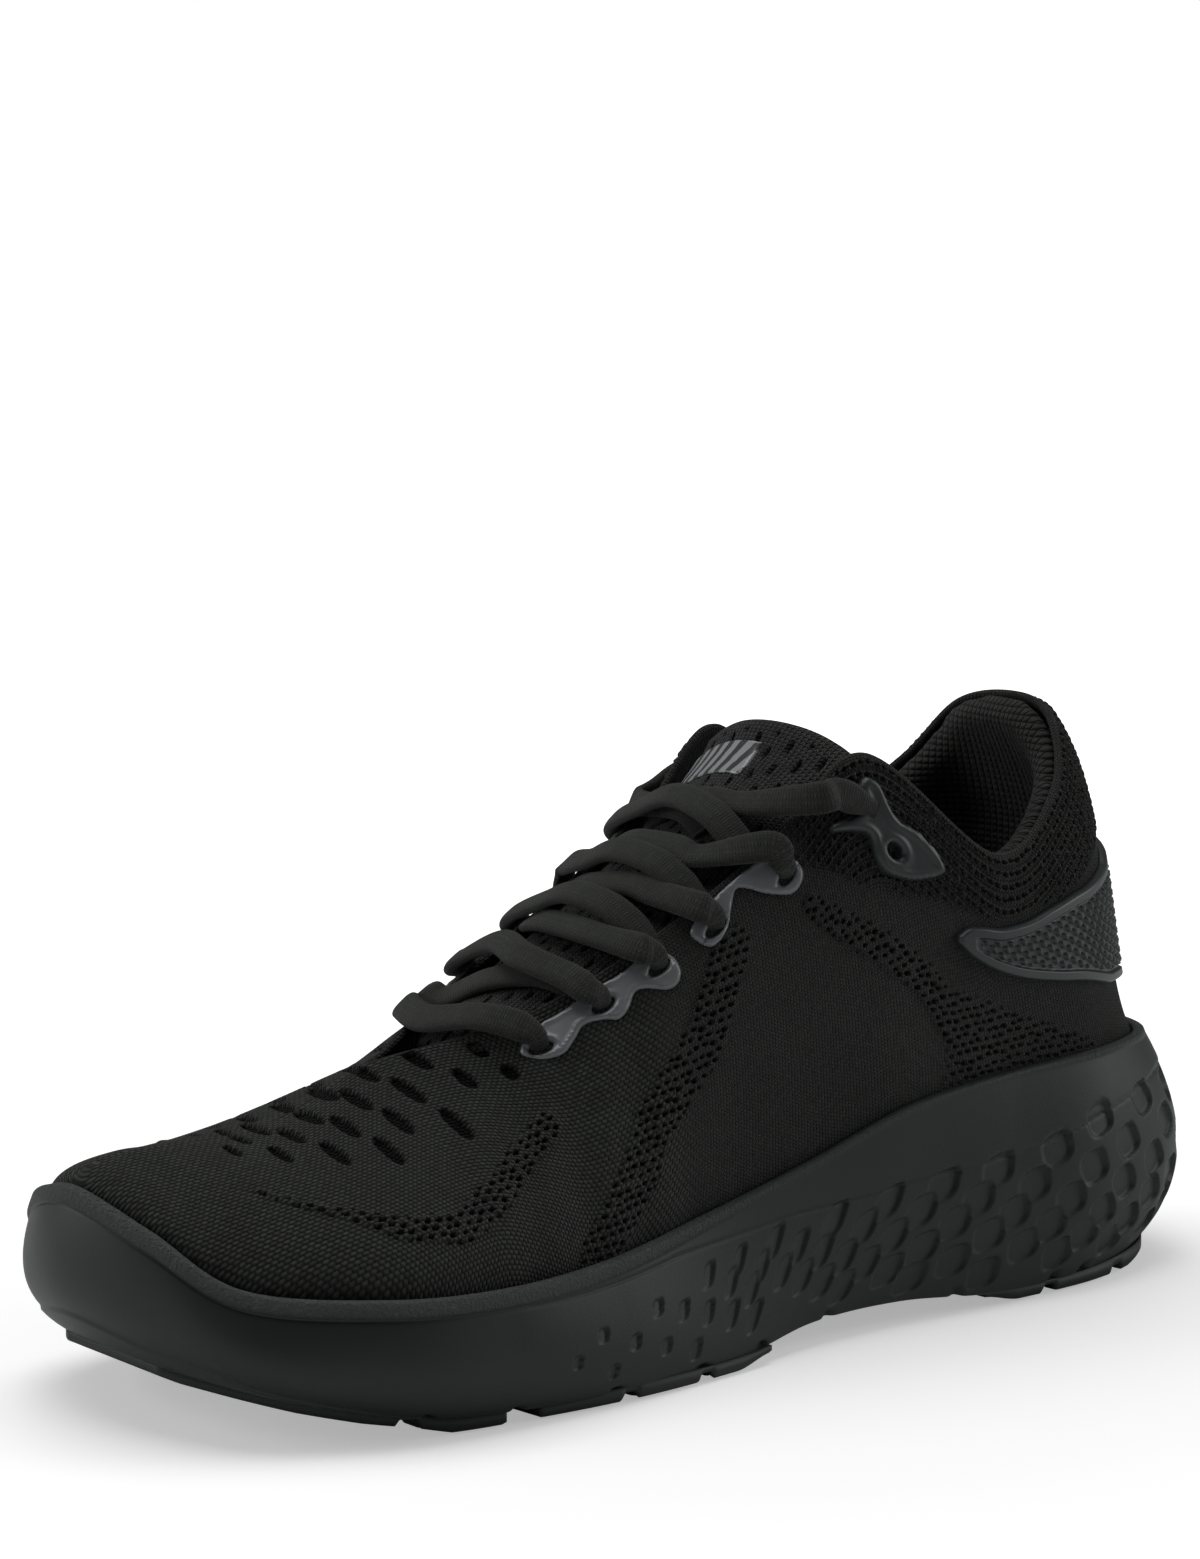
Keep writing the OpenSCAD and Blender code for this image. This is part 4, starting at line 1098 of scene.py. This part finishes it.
def lace_strands():
    """Places that each visible strand passes through."""
    strands = [
        [on_skin(4.98, 0.84, -0.4, True), on_skin(4.94, 0.87, 1.9, True), on_skin(4.81, 0.945, 2.7, True),
         on_tongue(0.45, -0.45, 6.4), on_tongue(0.75, 0.65, 6.6),
         on_skin(4.93, 0.955, 2.9), on_skin(5.0, 0.885, 1.8), on_skin(5.0, 0.852, -0.6)],
        [on_skin(5.47, 0.88, -0.4, True), on_skin(5.44, 0.91, 2.2, True), on_skin(5.34, 0.985, 2.8, True),
         on_tongue(1.85, -0.5, 5.4), on_tongue(1.68, 0.3, 6.0), on_tongue(1.85, 1.0, 5.4),
         on_skin(5.42, 0.96, 2.9), on_skin(5.48, 0.915, 1.8), on_skin(5.49, 0.888, -0.6)],
        [on_skin(4.99, 0.9, 0.6, True), on_skin(5.0, 0.97, 1.6, True), on_tongue(1.15, -0.9, 3.0),
         on_tongue(1.4, -0.2, 2.6), on_tongue(1.7, 0.5, 2.2), on_tongue(1.95, 1.0, 0.6),
         on_tongue(2.1, 1.2, -0.4)],
    ]
    for eye, t_eye, turn, mid, tuck, low_a, low_b in LACE_PAIRS:
        strands.append([
            on_skin(eye, t_eye, -0.4, True), on_skin(eye - 0.03, t_eye + 0.035, 2.2, True),
            on_skin(turn, 0.985, 2.9, True), on_tongue(mid - 0.02, -0.66, 5.2), on_tongue(mid, -0.1, 6.0),
            on_tongue((mid + tuck) / 2, 0.5, 5.4), on_tongue(tuck, 0.9, 2.4),
            on_tongue(tuck + 0.08, 1.05, 0.4),
        ])
        strands.append([
            on_tongue(low_a + 0.45, -1.0, 0.2), on_tongue(low_a + 0.2, -0.8, 2.2),
            on_tongue(low_a, -0.3, 2.9), on_tongue(low_b - 0.05, 0.35, 3.4),
            on_tongue(low_b + 0.05, 0.72, 4.0), on_skin(eye - 0.1, 0.995, 3.0),
            on_skin(eye - 0.03, t_eye + 0.065, 2.2), on_skin(eye, t_eye + 0.036, 1.5),
            on_skin(eye, t_eye + 0.012, -0.6),
        ])
    strands.append([
        on_tongue(4.62, -0.75, 0.4), on_tongue(4.7, -0.4, 1.6), on_tongue(4.82, 0.1, 2.6),
        on_tongue(5.0, 0.6, 3.8), on_skin(7.36, 0.99, 4.6), on_skin(7.58, 0.935, 3.2),
        on_skin(7.78, 0.875, 2.1), on_skin(7.96, 0.832, 1.3),
    ])
    strands.append([
        on_tongue(4.5, 0.35, 0.4), on_tongue(4.6, 0.0, 2.2), on_tongue(4.72, -0.6, 3.0),
        on_skin(7.02, 0.985, 2.5, True), on_skin(7.3, 0.915, 2.3, True), on_skin(7.68, 0.86, 1.9, True),
        on_skin(7.94, 0.83, 1.4, True),
    ])
    return strands


def build_laces():
    q = np.arange(36) * 2 * math.pi / 36
    profile = np.stack([LACE_W / 2 * np.sign(np.cos(q)) * np.abs(np.cos(q)) ** 0.65,
                        LACE_T / 2 * np.sign(np.sin(q)) * np.abs(np.sin(q)) ** 0.85], -1)
    all_points, all_quads, all_tris, weave = [], [], [], []
    first = 0
    for controls in lace_strands():
        path = smooth_path(controls, 150)
        centre, normal = path[:, :3], unit(path[:, 3:])
        run = run_along(centre)
        pinch = 1 - LACE_PINCH * (1 - smooth(0.5, 7, run[-1] - run))
        rings = tube(centre, normal, profile, pinch)
        n, m = rings.shape[:2]
        ids = first + np.arange(n * m).reshape(n, m)
        ids = np.concatenate([ids, ids[:, :1]], 1)
        all_points += [rings.reshape(-1, 3), centre[[0, -1]]]
        all_quads.append(cells(ids)[:, ::-1])
        hub = first + n * m
        all_tris += [[ids[0, j], ids[0, j + 1], hub] for j in range(m)]
        all_tris += [[ids[-1, j + 1], ids[-1, j], hub + 1] for j in range(m)]
        around = np.abs(np.arange(m) - m / 2) * LACE_ROUND / m
        w = np.stack(np.broadcast_arrays(run[:, None], around[None, :], 0.0), -1).reshape(-1, 3)
        weave += [w, w[:1], w[-1:]]
        first += n * m + 2
    data = np.concatenate(weave)
    obj = make_piece("lace_strands", np.concatenate(all_points), np.concatenate(all_quads), all_tris,
                     {"weave": data, "hole": np.zeros(len(data))}, LACE_WEAVE)
    hand_over(obj, ("lace",), "rearfoot")


# ---- Collar: a padded roll inside the heel opening, blown up as cloth ----
COLLAR_START = 8.12
LINING_LOW = 0.06
COLLAR_CENTRE_X = 66
COLLAR_RADIUS = 33


def build_collar():
    """v runs from the bottom of the lining (0) to the top edge of the collar (1)."""
    n, m = 150, 34
    s = np.linspace(COLLAR_START, LOOP - COLLAR_START, n)[:, None]
    v = np.linspace(0, 1, m)[None, :]
    t = LINING_LOW + (1 - LINING_LOW) * v
    near = np.minimum(s, LOOP - s)
    full = smooth(COLLAR_START, 9.0, near)
    back = KNIT_T + 0.25 + 1.9 * (1 - smooth(0.5, 0.62, v)) * smooth(8.6, 9.1, near) + 0 * s
    thick = (1.2 + 5.4 * np.sin(0.5 * math.pi * np.clip(v * 1.02, 0, 1)) ** 1.6) * (0.3 + 0.7 * full)
    thick = thick * (0.25 + 0.75 * round_over(1 - v, 0.07))
    rise = unit(vamp(s, 1 + 0 * v) - vamp(s, 0.97 + 0 * v)) * (1.7 * smooth(0.72, 0.95, v) * full)[..., None]
    pad = closed_sheet("collar_padded", skin(s, t, -back) + rise * 0.6, skin(s, t, -back - thick) + rise)
    puff_up(pad, 2.2)
    mesh = pad.data
    mesh.materials.clear()
    mesh.materials.append(LINING)
    co = np.array([p.co for p in mesh.vertices]) / MM
    angle = np.abs(np.arctan2(co[:, 1], co[:, 0] + COLLAR_CENTRE_X))
    set_values(mesh, "weave", np.stack([angle * COLLAR_RADIUS, co[:, 2], 0 * angle], -1))
    hand_over(pad, ("collar_lining", "collar_foam"), "rearfoot")


VOXEL = 1.92


def puff_up(obj, cap):
    """Blows a closed pad up as cloth, by cap millimetres at most, and keeps the result."""
    scene = bpy.context.scene
    bpy.context.view_layer.objects.active = obj
    obj.select_set(True)
    remesh = obj.modifiers.new("voxels", "REMESH")
    remesh.mode = "VOXEL"
    remesh.voxel_size = VOXEL * MM
    bpy.ops.object.modifier_apply(modifier=remesh.name)
    rest = np.array([p.co for p in obj.data.vertices])
    cloth = obj.modifiers.new("cloth", "CLOTH")
    cloth.settings.use_pressure = True
    cloth.settings.uniform_pressure_force = 4
    cloth.settings.effector_weights.gravity = 0
    cloth.settings.quality = 4
    cloth.point_cache.frame_start, cloth.point_cache.frame_end = 1, 20
    for f in range(1, 21):
        scene.frame_set(f)
    shape = obj.evaluated_get(bpy.context.evaluated_depsgraph_get())
    moved = np.array([p.co for p in shape.data.vertices])
    obj.modifiers.remove(cloth)
    scene.frame_set(1)
    shift = moved - rest
    size = np.linalg.norm(shift, axis=1, keepdims=True)
    shift *= np.minimum(1, cap * MM / np.maximum(size, 1e-9))
    obj.data.vertices.foreach_set("co", (rest + shift).astype(np.float32).ravel())
    for kind, setting, count in (("SMOOTH", "iterations", 6), ("SUBSURF", "levels", 1)):
        change = obj.modifiers.new(kind.lower(), kind)
        setattr(change, setting, count)
        bpy.ops.object.modifier_apply(modifier=change.name)
    obj.data.polygons.foreach_set("use_smooth", np.ones(len(obj.data.polygons), bool))
    obj.select_set(False)


# ---- Floor pieces inside the shoe, and the tread under it ----
def floor_sheet(name, by, up, thick, s_from, s_to, crown, material, nodes, slot):
    """A plate on the cup floor between two places along the shoe, its edges rounded and raised by crown."""
    n, m = 160, 40
    s = np.linspace(s_from, s_to, n)[:, None]
    f = np.linspace(0, 1, m)[None, :]
    a, b = inset(s[:, 0], by), inset(LOOP - s[:, 0], by)
    base = a[:, None] * (1 - f[..., None]) + b[:, None] * f[..., None]
    base[..., 2] = along(floors, s) + up
    edge = np.minimum(f, 1 - f) * np.linalg.norm(a - b, axis=1)[:, None]
    dish = crown * (1 - smooth(2, 16, edge))
    top = base + Z * (thick * (0.35 + 0.65 * round_over(edge, 1.6)) + dish)[..., None]
    obj = closed_sheet(name, top[::-1], base[::-1], material=material)
    return hand_over(obj, nodes)


def tread_height(x):
    """Height of the tread's underside."""
    places = [-119, -113, -106, -100, 77, 84, 93, 103, 110, 117, 121]
    return np.interp(x, places, [3.6, 1.9, 0.4, 0, 0, 1.6, 3, 5.1, 7.1, 9.2, 11])


WAIST = (-58, 3)
TREAD_T = 2.0
LUG_PITCH = 7.5
LUG_GAP_DEPTH = 0.9
GROOVE_DEPTH = 1.5


def build_tread(name, node, body, x0, x1, grooves, lean_deg):
    """A rubber slab crossed by slanted grooves and cut into small diamond lugs."""
    n, m = int((x1 - x0) / 0.5), 150
    x = np.linspace(x0, x1, n)[:, None]
    f = np.linspace(0, 1, m)[None, :]
    places = np.linspace(0.2, 11.8, 400)
    left, right = along(ground, places), along(ground, LOOP - places)
    high = np.interp(-x, -left[:, 0], left[:, 1]) - 0.25
    low = np.interp(-x, -right[:, 0], right[:, 1]) + 0.25
    y = low + (high - low) * f
    lean = math.tan(math.radians(lean_deg)) * y
    xx = np.clip(x - lean, -121, 123)
    diagonal = np.minimum(*(np.abs((q / LUG_PITCH) % 1 - 0.5) for q in (xx + y, xx - y)))
    edge = np.minimum(np.minimum(x - x0, x1 - x), np.minimum(y - low, high - y))
    cut = LUG_GAP_DEPTH * (1 - smooth(0.05, 0.12, diagonal)) * smooth(0.8, 1.6, edge)
    for groove in grooves:
        cut = np.maximum(cut, GROOVE_DEPTH * (1 - smooth(1.3, 2.3, np.abs(x - groove)) + 0 * y))
    cut += 0.6 * (1 - round_over(edge, 0.8))
    waist = np.minimum(np.abs(x - WAIST[0]), np.abs(x - WAIST[1])) + 0 * y
    cut += 1.7 * (1 - smooth(0, 10, waist))
    z = tread_height(xx)
    sole_edge = np.interp(-x, -left[:, 0], (left[:, 2] + right[:, 2]) / 2)
    under = np.stack([xx, y, z + cut], -1)
    over = np.stack([xx, y, np.maximum(z + TREAD_T + 0.5, sole_edge + 0.5)], -1)
    obj = closed_sheet(name, over, under, material=RUBBER)
    hand_over(obj, (node,), body)


# The insole: distance in from the rim, height above the cup floor and thickness, in millimetres
INSOLE_PLACE = (10.1, 1.6, 4.0)
INSOLE_CROWN = 1.2
INSOLE_SPLIT = (5.56, 5.63)
SOLE_ENDS = (0.05, 11.95)

build_heel_clip()
build_hardware()
build_laces()
build_collar()
board = floor_sheet("strobel_board", 9.9, 0.3, 1.0, SOLE_ENDS[0], SOLE_ENDS[1], 0, BOARD,
                    ("strobel_board_rear", "strobel_board_flex_zone", "strobel_board_fore"), "board_fabric")
front = floor_sheet("insole_front", *INSOLE_PLACE, SOLE_ENDS[0], INSOLE_SPLIT[0], INSOLE_CROWN, INSOLE,
                    ("insole_arch", "insole_flex_zone", "insole_toe"), "insole_foam")
for soft in (build_midsole(), build_upper(), board, front):
    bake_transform(soft)
for soft in build_tongue():
    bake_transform(soft)
rear = floor_sheet("insole_rear", *INSOLE_PLACE, INSOLE_SPLIT[1], SOLE_ENDS[1], INSOLE_CROWN, INSOLE,
                   ("insole_heel",), "insole_foam")
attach(rear, "insole_end")

build_tread("tread_heel", "outsole_heel", "rearfoot", -121, -58, (-98, -76), 6)
build_tread("tread_forefoot", "outsole_forefoot", "rearfoot", 3, 63, (22, 42), 6)
build_tread("tread_toe", "outsole_toe", "forefoot", 69, 120, (88,), 4)

# Hidden pieces keep their CAD shape and get their own finish.
for node, material in (
    ("toe_puff", SHEET), ("heel_counter", SHEET), ("eyestay_tape_lateral", TAPE),
    ("eyestay_tape_medial", TAPE), ("lace_tips", TIP),
):
    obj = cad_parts[node]
    obj.data.materials.clear()
    obj.data.materials.append(material)


# ---- Stage: floor, lights and camera ----
FLOOR_HALF = 6.0
FLOOR_Z = -0.0005
WORLD_LIGHT = 0.09
# Soft lights: name, place and width in metres, power in watts
LIGHTS = (
    ("top", (0.05, -0.2, 1.25), 1.1, 9.0),
    ("toe_side", (1.05, -0.8, 0.5), 0.8, 5.0),
    ("heel_side", (-1.05, 0.5, 0.45), 0.7, 3.3),
)


def build_floor():
    mesh = bpy.data.meshes.new("floor")
    corners = [(x * FLOOR_HALF, y * FLOOR_HALF, FLOOR_Z) for x, y in ((-1, -1), (1, -1), (1, 1), (-1, 1))]
    mesh.from_pydata(corners, [], [(0, 1, 2, 3)])
    paper = Shader("pale_floor", Roughness=0.9)
    paper.put(paper.surface, "Base Color", paper.mix(paper.noise(3, 2), (0.88, 0.88, 0.88), (0.9, 0.9, 0.9)))
    away = paper.node("VectorMath", {"operation": "LENGTH"}, i0=paper.place()).outputs["Value"]
    glow = paper.mad(paper.ramp(away, 0.12, 0.7), 0.6, 0.4)
    seen = paper.node("LightPath").outputs["Is Camera Ray"]
    paper.put(paper.surface, "Emission Color", (1, 1, 1))
    paper.put(paper.surface, "Emission Strength", paper.mul(glow, seen))
    mesh.materials.append(paper.material)
    add_object("floor", mesh)


def build_world():
    """White behind the shoe for the camera, dim as a light."""
    world = bpy.data.worlds.new("studio")
    world.use_nodes = True
    nodes, links = world.node_tree.nodes, world.node_tree.links
    mix, seen = nodes.new("ShaderNodeMixShader"), nodes.new("ShaderNodeLightPath")
    links.new(seen.outputs["Is Camera Ray"], mix.inputs[0])
    skies = (nodes["Background"], WORLD_LIGHT), (nodes.new("ShaderNodeBackground"), 1.0)
    for k, (sky, strength) in enumerate(skies):
        sky.inputs[0].default_value = (1, 1, 1, 1)
        sky.inputs[1].default_value = strength
        links.new(sky.outputs[0], mix.inputs[k + 1])
    links.new(mix.outputs[0], nodes["World Output"].inputs[0])
    bpy.context.scene.world = world


def build_lights():
    target = (cad_low + cad_high) / 2
    for name, place, width, power in LIGHTS:
        lamp = bpy.data.lights.new(name, "AREA")
        lamp.energy = power
        lamp.size = width
        obj = add_object(name, lamp)
        obj.location = place
        obj.rotation_mode = "QUATERNION"
        obj.rotation_quaternion = (target - Vector(place)).to_track_quat("-Z", "Y")


CAMERA_AT = (0.63971, 0.83791, 0.28202)
CAMERA_YAW = 36.883
CAMERA_PITCH = 9.297
CAMERA_LENS = 125.55


def build_camera():
    yaw, pitch = math.radians(CAMERA_YAW), math.radians(CAMERA_PITCH)
    back = Vector((math.sin(yaw) * math.cos(pitch), math.cos(yaw) * math.cos(pitch), math.sin(pitch)))
    right = Vector((-math.cos(yaw), math.sin(yaw), 0))
    up = back.cross(right)
    camera = bpy.data.cameras.new("camera")
    camera.lens = CAMERA_LENS
    camera.sensor_width = 36
    obj = add_object("camera", camera)
    turn = Matrix((right, up, back)).transposed()
    obj.matrix_world = Matrix.Translation(CAMERA_AT) @ turn.to_4x4()
    bpy.context.scene.camera = obj


build_floor()
build_world()
build_lights()
build_camera()
bpy.context.scene.view_settings.view_transform = "Standard"
